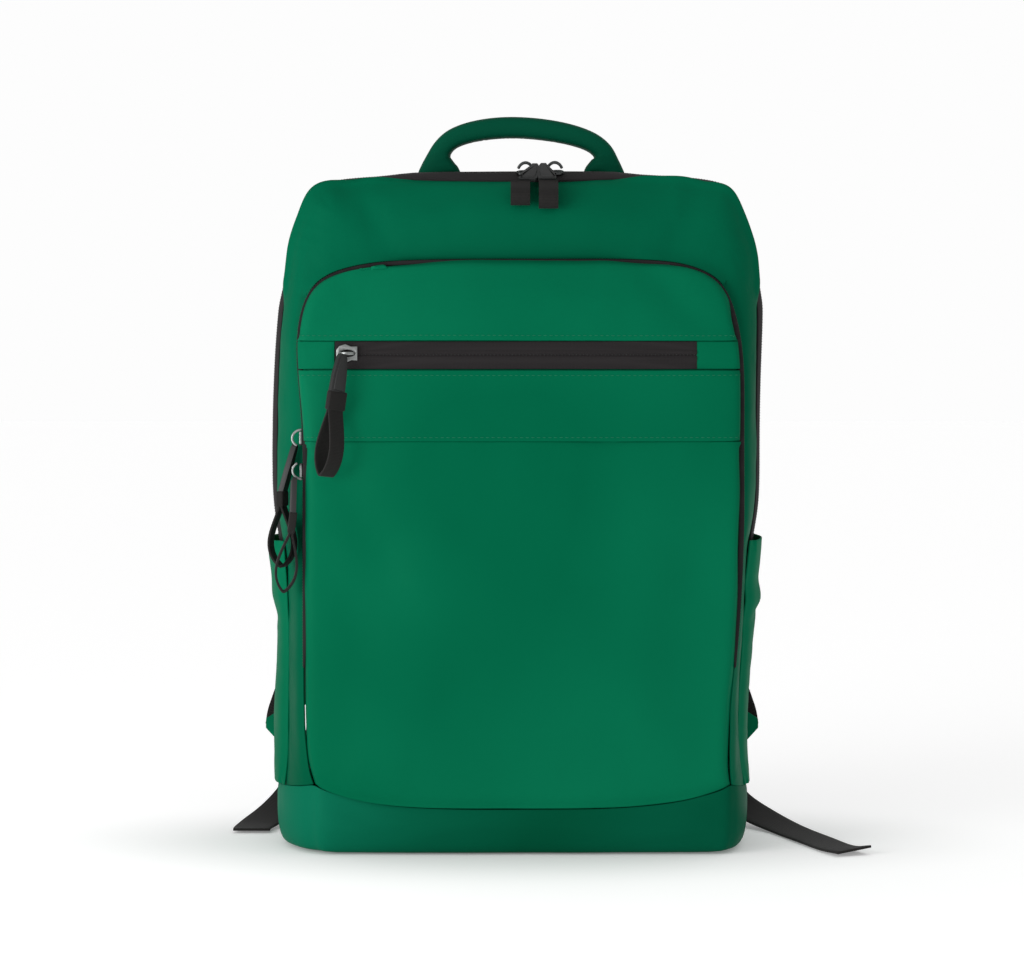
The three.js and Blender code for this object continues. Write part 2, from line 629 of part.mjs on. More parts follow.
// A strip swept through rows of places, with its own width, thickness and turn in each.
// The section is a rectangle with its corners cut by the share soft.
function sweptStrip(rows, steps, soft, endCap) {
  const keys = ['x', 'y', 'z', 'wide', 'thick', 'sideX', 'sideY', 'sideZ'];
  const track = Object.fromEntries(keys.map((key) => [key, trackOf(rows.map((row) => row[key]))]));
  const at = (t) => new THREE.Vector3(track.x(t), track.y(t), track.z(t));
  const section = soft > 0
    ? [[-1, -soft], [-soft, -1], [soft, -1], [1, -soft], [1, soft], [soft, 1], [-soft, 1], [-1, soft]]
    : [[-1, -1], [1, -1], [1, 1], [-1, 1]];
  const rings = evenly(steps).map((t) => {
    const run = at(Math.min(t + 0.01, 1)).sub(at(Math.max(t - 0.01, 0))).normalize();
    const side = new THREE.Vector3(track.sideX(t), track.sideY(t), track.sideZ(t));
    side.addScaledVector(run, -side.dot(run)).normalize();
    const face = run.clone().cross(side);
    const centre = at(t);
    return section.map(([u, v]) => {
      const point = centre.clone().addScaledVector(side, u * track.wide(t) / 2);
      point.addScaledVector(face, v * track.thick(t) / 2);
      return endCap ? endCap(point, t) : point;
    });
  });
  const sides = section.length;
  const positions = rings.flat().flatMap((p) => [p.x, p.y, p.z]);
  const index = [];
  for (let i = 0; i < steps; i++) {
    for (let j = 0; j < sides; j++) {
      const k = (j + 1) % sides;
      const row = i * sides;
      index.push(row + j, row + k, row + sides + k, row + j, row + sides + k, row + sides + j);
    }
  }
  const last = steps * sides;
  for (let j = 1; j < sides - 1; j++) {
    index.push(0, j + 1, j, last, last + j, last + j + 1);
  }
  return facingOut(positions, index);
}

// The station at which the main zip crosses a place on the crown
function stationAcross(x) {
  let low = sideEnd;
  let high = 1 - sideEnd;
  for (let i = 0; i < 30; i++) {
    const middle = (low + high) / 2;
    if (zipX(middle) < x) {
      low = middle;
    } else {
      high = middle;
    }
  }
  return low;
}

// Height of the roof at a place behind the main zip
const roofAt = (x, y) => gussetPoint(stationAcross(x), y - zipPlane).z;

// The carry handle, from foot to foot. Places are shares of halfWidth from its middle,
// rise and thickness are shares of handleRise and handleThick.
const handleRise = 30;
const handleThick = 14.5;
const handleMiddle = 6;
const handleRows = [
  { across: -0.34, rise: 0, thick: 2.15 },
  { across: -0.342, rise: 0.22, thick: 1.5 },
  { across: -0.335, rise: 0.46, thick: 0.98 },
  { across: -0.292, rise: 0.73, thick: 0.93 },
  { across: -0.21, rise: 0.9, thick: 0.97 },
  { across: -0.11, rise: 0.985, thick: 1 },
  { across: -0.01, rise: 1, thick: 1 },
  { across: 0.1, rise: 0.95, thick: 1 },
  { across: 0.21, rise: 0.84, thick: 0.97 },
  { across: 0.3, rise: 0.66, thick: 0.93 },
  { across: 0.345, rise: 0.42, thick: 1 },
  { across: 0.348, rise: 0.2, thick: 1.5 },
  { across: 0.345, rise: 0, thick: 2.05 },
];

function makeHandle() {
  const foot = bodyHeight + 0.9;
  const rows = handleRows.map((row) => ({
    x: handleMiddle + row.across * halfWidth,
    y: handleSetBack,
    z: foot + row.rise * handleRise,
    wide: handleDepth,
    thick: row.thick * handleThick,
    sideX: 0,
    sideY: 1,
    sideZ: 0,
  }));
  const seat = (point, t) => {
    if (t > 0 && t < 1) {
      return point;
    }
    const slope = roofAt(point.x, handleSetBack + 1) - roofAt(point.x, handleSetBack);
    return point.setZ(roofAt(point.x, handleSetBack) + slope * (point.y - handleSetBack) + 1.5 * gap);
  };
  addMesh('carry_handle', sweptStrip(rows, 24, 0.62, seat), green);
}

// Shoulder straps, from the top of the back to the webbing. Across is a share of
// halfWidth, high of bodyHeight, off of strapStandOff and wide of strapWide.
const strapWide = 62;
const strapRows = [
  { across: 0.27, high: 0.945, off: 0, wide: 0.94 },
  { across: 0.275, high: 0.93, off: 0.3, wide: 0.97 },
  { across: 0.29, high: 0.88, off: 0.8, wide: 1 },
  { across: 0.33, high: 0.79, off: 1, wide: 1.02 },
  { across: 0.39, high: 0.69, off: 1, wide: 0.98 },
  { across: 0.46, high: 0.59, off: 0.88, wide: 0.9 },
  { across: 0.54, high: 0.49, off: 0.66, wide: 0.8 },
  { across: 0.62, high: 0.4, off: 0.42, wide: 0.72 },
];
const backAt = (high) => zipPlane + backOut(high) * bodyDepth + 3.5;

// Where the ladder lock hangs, and the two ways its webbing goes from there
const lockAcross = 0.675;
const lockHigh = 0.318;
const lockOff = 0.28;

function makeStraps() {
  for (const hand of [-1, 1]) {
    const side = hand > 0 ? 'right' : 'left';
    const rows = strapRows.map((row) => ({
      x: hand * row.across * halfWidth,
      y: backAt(row.high) + strapPad / 2 + gap + row.off * strapStandOff,
      z: row.high * bodyHeight,
      wide: row.wide * strapWide,
      thick: strapPad,
      sideX: 1,
      sideY: 0,
      sideZ: 0,
    }));
    addMesh(`shoulder_strap_${side}`, sweptStrip(rows, 16, 0.8), meshBlack);
    const end = rows[rows.length - 1];
    const before = rows[rows.length - 2];
    makeLock(hand, side, end, before);
  }
}

function makeLock(hand, side, end, before) {
  const lock = new THREE.Vector3(
    hand * lockAcross * halfWidth,
    backAt(lockHigh) + lockOff * strapStandOff,
    lockHigh * bodyHeight,
  );
  const shape = new THREE.Shape();
  shape.moveTo(-lockWidth / 2, -lockHeight / 2);
  shape.lineTo(lockWidth / 2, -lockHeight / 2);
  shape.lineTo(lockWidth / 2, lockHeight / 2);
  shape.lineTo(-lockWidth / 2, lockHeight / 2);
  const slot = (low, high) => {
    const hole = new THREE.Path();
    const half = lockWidth / 2 - lockBar;
    hole.moveTo(-half, low);
    hole.lineTo(-half, high);
    hole.lineTo(half, high);
    hole.lineTo(half, low);
    shape.holes.push(hole);
  };
  slot(-lockHeight / 2 + lockBar, -lockBar / 2);
  slot(lockBar / 2, lockHeight / 2 - lockBar);
  const geometry = new THREE.ExtrudeGeometry(shape, { depth: lockThick, bevelEnabled: false });
  geometry.translate(0, 0, -lockThick / 2);
  const mesh = addMesh(`ladder_lock_${side}`, geometry, plastic);
  const run = new THREE.Vector3(end.x - before.x, end.y - before.y, end.z - before.z).normalize();
  const up = run.clone().negate();
  const out = new THREE.Vector3(0, 1, 0).addScaledVector(up, -up.y).normalize();
  const across = up.clone().cross(out);
  mesh.matrixAutoUpdate = false;
  mesh.matrix.makeBasis(across, up, out).setPosition(lock);
  const place = (along, off) => lock.clone().addScaledVector(up, along).addScaledVector(out, off);
  const row = (point, wide, thick, side) => ({
    x: point.x, y: point.y, z: point.z, wide, thick, sideX: side.x, sideY: side.y, sideZ: side.z,
  });
  const clear = lockThick / 2 + webbingThick / 2 + gap;
  const sideways = across.clone().negate();
  const strapEnd = new THREE.Vector3(end.x, end.y, end.z);
  const loop = [
    row(strapEnd.clone().addScaledVector(run, gap), webbing, webbingThick, sideways),
    row(strapEnd.clone().addScaledVector(run, 7), webbing, webbingThick, sideways),
    row(place(lockHeight / 2 + 7, 0), webbing, webbingThick, sideways),
    row(place(lockHeight / 2 + 2 * gap, 0), webbing, webbingThick, sideways),
  ];
  addMesh(`strap_loop_${side}`, sweptStrip(loop, 3, 0), webBlack);
  makeWebbing(hand, side, place, sideways, row, clear);
}

// Free ends of the webbing on the floor. Places are shares of halfWidth, bodyDepth and
// bodyHeight, and turn is the width's bearing in degrees.
const tailRows = {
  right: [
    { across: 0.76, back: 0.68, high: 0.2, turn: 4, tilt: 0 },
    { across: 0.85, back: 0.64, high: 0.09, turn: 12, tilt: 6 },
    { across: 0.935, back: 0.6, high: 0.042, turn: 28, tilt: 10 },
    { across: 1.035, back: 0.485, high: 0.019, turn: 33, tilt: 10 },
    { across: 1.155, back: 0.25, high: 0.0055, turn: 28, tilt: 3 },
    { across: 1.25, back: -0.07, high: 0.0042, turn: 19, tilt: 1 },
    { across: 1.325, back: -0.34, high: 0.0045, turn: 16, tilt: 1 },
    { across: 1.385, back: -0.5, high: 0.0095, turn: 22, tilt: 7 },
  ],
  left: [
    { across: -0.765, back: 0.69, high: 0.2, turn: -4, tilt: 0 },
    { across: -0.85, back: 0.67, high: 0.09, turn: -12, tilt: -6 },
    { across: -0.935, back: 0.63, high: 0.046, turn: -24, tilt: -10 },
    { across: -1.01, back: 0.52, high: 0.021, turn: -26, tilt: -8 },
    { across: -1.07, back: 0.4, high: 0.0085, turn: -12, tilt: -3 },
    { across: -1.093, back: 0.29, high: 0.0058, turn: -2, tilt: 0 },
    { across: -1.095, back: 0.215, high: 0.0058, turn: 0, tilt: 0 },
  ],
};

// The two webbings of a lock, whose width starts out sideways
function makeWebbing(hand, side, place, sideways, row, clear) {
  const radians = THREE.MathUtils.degToRad;
  const start = [
    row(place(-lockBar / 2 - 1, clear + 0.6), webbing, webbingThick, sideways),
    row(place(-lockHeight / 2 - 8, clear + 3), webbing, webbingThick, sideways),
  ];
  const table = tailRows[side];
  const rest = table.map((r, i) => {
    const flat = Math.cos(radians(r.tilt));
    const turned = new THREE.Vector3(
      Math.cos(radians(r.turn)) * flat, Math.sin(radians(r.turn)) * flat, Math.sin(radians(r.tilt)),
    );
    const point = new THREE.Vector3(r.across * halfWidth, r.back * bodyDepth, r.high * bodyHeight);
    return row(point, webbing, i < table.length - 1 ? webbingThick : hemThick, turned);
  });
  addMesh(`strap_tail_${side}`, sweptStrip([...start, ...rest], 3 * (table.length + 1), 0), webBlack);
  const tabY = 0.42 * bodyDepth;
  const tabSide = new THREE.Vector3(0.95, 0, hand * 0.3);
  const midSide = new THREE.Vector3(0.9, 0, hand * 0.45);
  const anchor = [
    row(place(-lockHeight / 2 - 3 * gap, -0.4), webbing, webbingThick, sideways),
    row(place(-lockHeight / 2 - 12, -0.5), webbing, webbingThick, sideways),
    row(new THREE.Vector3(hand * 0.83 * halfWidth, tabY + 14, 0.252 * bodyHeight), webbing, webbingThick, midSide),
    row(new THREE.Vector3(hand * 0.93 * halfWidth, tabY + 9, 0.208 * bodyHeight), webbing, webbingThick, tabSide),
    row(new THREE.Vector3(hand * 0.99 * halfWidth, tabY + 3, 0.18 * bodyHeight), webbing * 0.6, webbingThick, tabSide),
    row(new THREE.Vector3(hand * 1.0 * halfWidth, tabY + 0.4, 0.158 * bodyHeight), webbing * 0.6, webbingThick, tabSide),
  ];
  addMesh(`anchor_webbing_${side}`, sweptStrip(anchor, 12, 0), webBlack);
  makeTab(hand, side, tabY);
}

// The sewn triangle that holds the lower webbing, in the seam behind the bottle pocket
function makeTab(hand, side, tabY) {
  const rows = [{ high: 0.114, out: 0 }, { high: 0.155, out: 1 }, { high: 0.169, out: 1 }, { high: 0.195, out: 0.05 }];
  const reach = 19;
  const wallX = (z) => Math.abs(shellPoint(stationAt(zipZ, z, hand > 0), zipPlane - tabY + tabThick).x) + 0.5;
  const shape = new THREE.Shape();
  const low = rows[0].high * bodyHeight;
  const high = rows[3].high * bodyHeight;
  shape.moveTo(hand * wallX(low), low);
  rows.forEach((r) => {
    const z = r.high * bodyHeight;
    shape.lineTo(hand * (wallX(z) + 1 + r.out * reach), z);
  });
  shape.lineTo(hand * wallX(high), high);
  const geometry = new THREE.ExtrudeGeometry(shape, { depth: tabThick, bevelEnabled: false });
  geometry.rotateX(Math.PI / 2);
  geometry.translate(0, tabY - 1, 0);
  addMesh(`side_tab_${side}`, geometry, green);
}

// A zip slider: its plate and bridge, cut from one side profile. along is the zip's
// direction and out points away from the cloth.
function makeSlider(name, place, along, out) {
  const half = sliderLong / 2;
  const shape = new THREE.Shape();
  shape.moveTo(-half, 0);
  shape.lineTo(half, 0);
  shape.lineTo(half, sliderPlate);
  shape.lineTo(half * 0.72, sliderPlate);
  shape.lineTo(half * 0.4, bridgeHigh);
  shape.lineTo(-half * 0.4, bridgeHigh);
  shape.lineTo(-half * 0.72, sliderPlate);
  shape.lineTo(-half, sliderPlate);
  const eye = new THREE.Path();
  eye.moveTo(-half * 0.42, sliderPlate + 0.4);
  eye.lineTo(-half * 0.22, bridgeHigh - 1.4);
  eye.lineTo(half * 0.22, bridgeHigh - 1.4);
  eye.lineTo(half * 0.42, sliderPlate + 0.4);
  shape.holes.push(eye);
  const geometry = new THREE.ExtrudeGeometry(shape, { depth: sliderWide, bevelEnabled: false });
  geometry.translate(0, 0, -sliderWide / 2);
  const mesh = addMesh(`${name}_slider`, geometry, silver);
  mesh.matrixAutoUpdate = false;
  mesh.matrix.makeBasis(along, out, along.clone().cross(out)).setPosition(place);
}

// A pull: a moulded tab, then a webbing loop whose strands part below a sewn neck.
// down is the way it hangs and facing is the band's normal.
function makePull(name, top, down, loopDown, facing, size) {
  const place = (mesh, origin, axis) => {
    const flat = facing.clone().addScaledVector(axis, -facing.dot(axis)).normalize();
    mesh.matrixAutoUpdate = false;
    mesh.matrix.makeBasis(axis, flat, axis.clone().cross(flat)).setPosition(origin);
  };
  const tab = new THREE.Shape();
  const half = pullThick / 2;
  tab.moveTo(0, -half * 0.6);
  tab.lineTo(size.tab * 0.3, -half);
  tab.lineTo(size.tab, -half);
  tab.lineTo(size.tab, half);
  tab.lineTo(size.tab * 0.3, half);
  tab.lineTo(0, half * 0.6);
  const tabGeometry = new THREE.ExtrudeGeometry(tab, { depth: pullWide, bevelEnabled: false });
  tabGeometry.translate(0, 0, -pullWide / 2);
  place(addMesh(`${name}_tab`, tabGeometry, rubber), top, down);
  const outline = (neck, swell, from, to) => {
    const steps = 7;
    const strand = evenly(steps).map((u) => {
      const bow = swell * Math.sin(Math.PI * u ** 1.5) ** 0.7;
      return [THREE.MathUtils.lerp(from, to, u), neck * (1 - u) + bow];
    });
    return [...strand, ...strand.slice(1, -1).reverse().map(([u, v]) => [u, -v])];
  };
  const draw = (shape, points) => {
    shape.moveTo(points[0][0], points[0][1]);
    points.slice(1).forEach(([u, v]) => shape.lineTo(u, v));
    return shape;
  };
  const neck = pullWide * 0.3;
  const band = new THREE.Shape();
  const upper = [[0, -neck], [size.neck, -neck]];
  const outside = outline(neck, size.open / 2, size.neck, size.neck + size.loop);
  draw(band, [...upper, ...outside.slice(8).reverse(), ...outside.slice(0, 8).reverse(), [0, neck]]);
  const wall = webbingThick;
  const inside = outline(neck - wall, size.open / 2 - wall, size.neck + wall, size.neck + size.loop - wall);
  band.holes.push(draw(new THREE.Path(), inside.filter((_, i) => i > 0)));
  const bandGeometry = new THREE.ExtrudeGeometry(band, { depth: pullWide, bevelEnabled: false });
  bandGeometry.translate(0, 0, -pullWide / 2);
  const start = top.clone().addScaledVector(down, size.tab + 3 * gap);
  place(addMesh(`${name}_loop`, bandGeometry, webBlack), start, loopDown);
}

// Every zip's slider and pull. Sizes of a pull are millimetres of its own length.
const longPull = { tab: 24, neck: 12, loop: 41, open: 12 };
const shortPull = { tab: 16, neck: 4, loop: 13, open: 6 };

function makePulls() {
  const right = new THREE.Vector3(1, 0, 0);
  const forward = new THREE.Vector3(0, -1, 0);
  const up = new THREE.Vector3(0, 0, 1);
  const left = new THREE.Vector3(-1, 0, 0);
  const lean = (x, y, z) => new THREE.Vector3(x, y, z).normalize();

  const pocketX = pocketZipLeft + 8;
  const pocketZ = (pocketZipLow + pocketZipHigh) / 2 + 1;
  const face = frontPoint(pocketX, pocketZ, -pocketZipRecess).y - 3 * gap;
  makeSlider('pocket', new THREE.Vector3(pocketX, face, pocketZ), right, forward);
  const hang = new THREE.Vector3(pocketX, face - bridgeHigh - pullThick / 2 - 3 * gap, pocketZ - 2);
  makePull('pocket', hang, lean(-0.12, -0.24, -1), lean(-0.14, -0.02, -1), lean(0.5, -0.86, 0), longPull);

  const crown = [0.055, 0.175];
  crown.forEach((across, i) => {
    const t = stationAcross(across * halfWidth);
    const seat = hoodPoint(t, mainZipFront(t) * 0.55);
    const before = hoodPoint(t, mainZipFront(t) * 0.45);
    const run = before.clone().sub(seat).normalize();
    const out = right.clone().cross(run).normalize();
    const place = seat.clone().addScaledVector(out, gap);
    makeSlider(`main_${i + 1}`, place, right, out);
    const top = place.clone().addScaledVector(forward, sliderWide / 2 + 1.6).addScaledVector(up, 5);
    makePull(`main_${i + 1}`, top, lean(0, -1, -0.75), lean(0, -0.45, -1), lean(0, -1, 0), shortPull);
  });

  const sides = [
    { high: 0.611, setBack: 0.2, tabDown: lean(-0.27, 0, -1), loopDown: lean(0, 0, -1), size: { tab: 31, neck: 9, loop: 37, open: 14 } },
    { high: 0.564, setBack: -0.9, tabDown: lean(-0.04, 0, -1), loopDown: lean(-0.13, 0, -1), size: { tab: 22, neck: 15, loop: 29, open: 13 } },
  ];
  sides.forEach((row, i) => {
    const t = stationAt(edgeZ, row.high * bodyHeight, false);
    const y = faceEdgeY(t) + ledge(t) / 2;
    const place = new THREE.Vector3(edgeX(t) - 2 * gap, y, edgeZ(t));
    makeSlider(`compartment_${i + 1}`, place, up, left);
    const top = new THREE.Vector3(place.x - bridgeHigh + 1.8, y + row.setBack * pullWide, place.z - sliderLong / 2 + 1);
    makePull(`compartment_${i + 1}`, top, row.tabDown, row.loopDown, right, row.size);
  });
}

makeFront();
makePocketZip();
makeCompartmentZip();
makeShell();
makeBack();
makeBoot();
makeSidePockets();
makeHandle();
makeStraps();
makePulls();

export default backpack;
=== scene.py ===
# Laptop backpack in coated green cloth, standing on its base.
# Blender works in metres here. The lengths in the tables are millimetres, times mm.
import json
import math

import bmesh
import bpy
import numpy as np
from mathutils import Matrix, Vector, noise
from mathutils.kdtree import KDTree

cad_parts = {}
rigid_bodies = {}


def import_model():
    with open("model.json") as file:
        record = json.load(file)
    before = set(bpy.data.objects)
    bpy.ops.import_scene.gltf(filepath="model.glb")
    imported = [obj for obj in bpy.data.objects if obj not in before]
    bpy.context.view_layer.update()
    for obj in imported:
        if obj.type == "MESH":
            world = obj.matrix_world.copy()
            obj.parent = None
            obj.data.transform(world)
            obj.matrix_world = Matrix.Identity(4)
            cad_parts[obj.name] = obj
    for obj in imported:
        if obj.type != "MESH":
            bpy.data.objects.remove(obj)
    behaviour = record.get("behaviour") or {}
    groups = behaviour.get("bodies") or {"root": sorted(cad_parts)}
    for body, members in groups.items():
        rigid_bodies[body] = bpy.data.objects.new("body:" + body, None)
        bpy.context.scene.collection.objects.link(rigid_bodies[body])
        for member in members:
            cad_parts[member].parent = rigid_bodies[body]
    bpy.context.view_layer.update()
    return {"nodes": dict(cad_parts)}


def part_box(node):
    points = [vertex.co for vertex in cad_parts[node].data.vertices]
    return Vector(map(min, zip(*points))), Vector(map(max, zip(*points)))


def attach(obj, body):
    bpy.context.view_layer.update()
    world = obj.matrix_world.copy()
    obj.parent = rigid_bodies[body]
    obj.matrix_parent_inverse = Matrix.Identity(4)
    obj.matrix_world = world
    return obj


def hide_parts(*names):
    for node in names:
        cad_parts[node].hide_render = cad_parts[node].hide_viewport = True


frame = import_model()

mm = 0.001
nodes = frame["nodes"]
right, forward, up = Vector((1, 0, 0)), Vector((0, -1, 0)), Vector((0, 0, 1))
left, backward, down = -right, -forward, -up
print("stage: frame loaded,", len(nodes), "nodes")


# Camera: straight at the front from 2.5 m, a little above the handle's foot
shot = {"distance": 2540, "height": 380, "pitch": 3.13, "lens": 135.2}

bpy.ops.object.camera_add(
    location=(0, -shot["distance"] * mm, shot["height"] * mm),
    rotation=(math.radians(90 - shot["pitch"]), 0, 0),
)
camera = bpy.context.active_object
camera.data.sensor_fit = "HORIZONTAL"
camera.data.sensor_width = 36
camera.data.lens = shot["lens"]
bpy.context.scene.camera = camera


# Materials
def linear(hexColour):
    values = [int(hexColour[i:i + 2], 16) / 255 for i in (1, 3, 5)]
    return [v / 12.92 if v <= 0.04045 else ((v + 0.055) / 1.055) ** 2.4 for v in values] + [1]


# One node with its settings and links. A key is a property, a socket's name or its number.
def addNode(tree, kind, settings=None, links=None):
    node = tree.nodes.new(kind)
    for key, value in (settings or {}).items():
        if isinstance(key, str) and hasattr(node, key):
            setattr(node, key, value)
        else:
            node.inputs[key].default_value = value
    for key, source in (links or {}).items():
        tree.links.new(source, node.inputs[key])
    return node


def newMaterial(name, roughness, specular=0.5, metallic=0.0, sheen=0.0):
    material = bpy.data.materials.new(name)
    material.use_nodes = True
    shader = material.node_tree.nodes["Principled BSDF"]
    shader.inputs["Roughness"].default_value = roughness
    shader.inputs["Metallic"].default_value = metallic
    shader.inputs["Specular IOR Level"].default_value = specular
    shader.inputs["Sheen Weight"].default_value = sheen
    return material, material.node_tree, shader


# Blender's band texture repeats every pi/10 of its scaled length
def bandScale(pitch):
    return math.pi / 10 / (pitch * mm)


def noiseScale(size):
    return 1 / (size * mm)


# Threads along all three axes, so that the weave shows whichever way the cloth faces
def threadsAcross(tree, place, pitch, operation, waviness):
    height = None
    for axis in ("X", "Y", "Z"):
        threads = addNode(tree, "ShaderNodeTexWave", {"bands_direction": axis, "Scale": bandScale(pitch), **waviness},
                          {"Vector": place}).outputs["Fac"]
        if height is None:
            height = threads
        else:
            height = addNode(tree, "ShaderNodeMath", {"operation": operation}, {0: height, 1: threads}).outputs[0]
    return height


# Polyurethane-coated polyester: a closed satin skin that lets the fine weave show
# through, with broad soft lights and broad darker and paler patches laid at random by noise
def coatedCloth(name, dark, pale):
    material, tree, shader = newMaterial(name, 0.5, specular=0.015)
    place = addNode(tree, "ShaderNodeTexCoord").outputs["Object"]
    broad = addNode(tree, "ShaderNodeTexNoise", {"Scale": noiseScale(190), "Detail": 1.5}, {"Vector": place})
    shade = addNode(tree, "ShaderNodeMapRange", {1: 0.35, 2: 0.68}, {0: broad.outputs["Fac"]})
    colour = addNode(tree, "ShaderNodeMix", {"data_type": "RGBA", 6: linear(dark), 7: linear(pale)}, {0: shade.outputs[0]})
    tree.links.new(colour.outputs[2], shader.inputs["Base Color"])
    # The real threads are 0.3 mm apart, too fine for the picture, so they stand 0.8 mm apart
    height = threadsAcross(tree, place, 0.8, "ADD", {"Distortion": 0.6, "Detail": 1.0, "Detail Scale": 2.0})
    grain = addNode(tree, "ShaderNodeTexNoise", {"Scale": noiseScale(2.6), "Detail": 3.0}, {"Vector": place})
    weave = addNode(tree, "ShaderNodeBump", {"Strength": 0.12, "Distance": 0.12 * mm}, {"Height": height})
    skin = addNode(tree, "ShaderNodeBump", {"Strength": 0.22, "Distance": 0.25 * mm},
                   {"Height": grain.outputs["Fac"], "Normal": weave.outputs[0]})
    tree.links.new(skin.outputs[0], shader.inputs["Normal"])
    worn = addNode(tree, "ShaderNodeTexNoise", {"Scale": noiseScale(28), "Detail": 4.0}, {"Vector": place})
    gloss = addNode(tree, "ShaderNodeMapRange", {1: 0.3, 2: 0.7, 3: 0.44, 4: 0.56}, {0: worn.outputs["Fac"]})
    tree.links.new(gloss.outputs[0], shader.inputs["Roughness"])
    return material


# Woven polyester zip tape: matt, near black, with close ribs across
def zipTapeCloth():
    material, tree, shader = newMaterial("wovenZipTape", 0.72, specular=0.15)
    place = addNode(tree, "ShaderNodeTexCoord").outputs["Object"]
    height = threadsAcross(tree, place, 0.9, "MAXIMUM", {})
    weave = addNode(tree, "ShaderNodeBump", {"Strength": 0.4, "Distance": 0.15 * mm}, {"Height": height})
    tree.links.new(weave.outputs[0], shader.inputs["Normal"])
    # Painted shade at the weave's scale: darker in the hollows between the threads and paler on the raised threads,
    # from the same height as the bump
    colour = addNode(tree, "ShaderNodeMix", {"data_type": "RGBA", 6: linear("#161415"), 7: linear("#242122")},
                     {0: height})
    tree.links.new(colour.outputs[2], shader.inputs["Base Color"])
    return material


# Polyester webbing: ribbed across every 1.4 mm, with a denser selvedge at both edges.
# The ribs follow the band by its own UV map, which holds metres across and along.
def ribbedWebbing(name, pitch, depth):
    material, tree, shader = newMaterial(name, 0.78, specular=0.2, sheen=0.04)
    place = addNode(tree, "ShaderNodeUVMap", {"uv_map": "band"}).outputs["UV"]
    ribs = addNode(tree, "ShaderNodeTexWave", {"bands_direction": "Y", "Scale": bandScale(pitch), "Distortion": 0.4},
                   {"Vector": place})
    cords = addNode(tree, "ShaderNodeTexWave", {"bands_direction": "X", "Scale": bandScale(1.5 * pitch)}, {"Vector": place})
    both = addNode(tree, "ShaderNodeMath", {"operation": "MULTIPLY_ADD", 1: 0.5},
                   {0: cords.outputs["Fac"], 2: ribs.outputs["Fac"]})
    bump = addNode(tree, "ShaderNodeBump", {"Strength": depth, "Distance": 0.25 * mm}, {"Height": both.outputs[0]})
    tree.links.new(bump.outputs[0], shader.inputs["Normal"])
    # Painted shade at the rib scale: darker between the ribs and paler on their crests, from the same bands as the bump
    colour = addNode(tree, "ShaderNodeMix", {"data_type": "RGBA", 6: linear("#141312"), 7: linear("#1f1d1c")},
                     {0: ribs.outputs["Fac"]})
    tree.links.new(colour.outputs[2], shader.inputs["Base Color"])
    return material


# Three-dimensional spacer mesh on foam: matt, with small sunk cells, their centres painted darker as shade
def spacerMesh():
    material, tree, shader = newMaterial("spacerMesh", 0.9, specular=0.25, sheen=0.15)
    place = addNode(tree, "ShaderNodeTexCoord").outputs["Object"]
    cells = addNode(tree, "ShaderNodeTexVoronoi", {"Scale": noiseScale(2.4), "Randomness": 0.35}, {"Vector": place})
    colour = addNode(tree, "ShaderNodeMix", {"data_type": "RGBA", 6: linear("#0d0e0e"), 7: linear("#2c2e2d")},
                     {0: cells.outputs["Distance"]})
    tree.links.new(colour.outputs[2], shader.inputs["Base Color"])
    bump = addNode(tree, "ShaderNodeBump", {"Strength": 0.6, "Distance": 0.5 * mm}, {"Height": cells.outputs["Distance"]})
    tree.links.new(bump.outputs[0], shader.inputs["Normal"])
    return material


# Moulded plastics, matt black with a fine spark-eroded grain: soft rubber, nylon and acetal
def mouldedMatt(name, colourHex, roughness, grain):
    material, tree, shader = newMaterial(name, roughness, specular=0.4)
    shader.inputs["Base Color"].default_value = linear(colourHex)
    place = addNode(tree, "ShaderNodeTexCoord").outputs["Object"]
    speckle = addNode(tree, "ShaderNodeTexNoise", {"Scale": noiseScale(grain), "Detail": 2.0}, {"Vector": place})
    bump = addNode(tree, "ShaderNodeBump", {"Strength": 0.25, "Distance": 0.08 * mm}, {"Height": speckle.outputs["Fac"]})
    tree.links.new(bump.outputs[0], shader.inputs["Normal"])
    return material


# Plated zinc die casting: a dull metal, slightly pitted, with softened edges
def platedZinc(name, colourHex, roughness):
    material, tree, shader = newMaterial(name, roughness, metallic=1.0)
    place = addNode(tree, "ShaderNodeTexCoord").outputs["Object"]
    pits = addNode(tree, "ShaderNodeTexNoise", {"Scale": noiseScale(1.6), "Detail": 3.0}, {"Vector": place})
    shader.inputs["Base Color"].default_value = linear(colourHex)
    rough = addNode(tree, "ShaderNodeMapRange", {1: 0.3, 2: 0.7, 3: roughness - 0.08, 4: roughness + 0.1},
                    {0: pits.outputs["Fac"]})
    tree.links.new(rough.outputs[0], shader.inputs["Roughness"])
    return material


# Bonded polyester sewing thread, twisted, in the cloth's own green
def sewingThread(name, colourHex):
    material, tree, shader = newMaterial(name, 0.6, specular=0.3)
    shader.inputs["Base Color"].default_value = linear(colourHex)
    place = addNode(tree, "ShaderNodeTexCoord").outputs["Object"]
    twist = addNode(tree, "ShaderNodeTexWave", {"bands_direction": "DIAGONAL", "Scale": bandScale(0.7)}, {"Vector": place})
    bump = addNode(tree, "ShaderNodeBump", {"Strength": 0.4, "Distance": 0.1 * mm}, {"Height": twist.outputs["Fac"]})
    tree.links.new(bump.outputs[0], shader.inputs["Normal"])
    return material


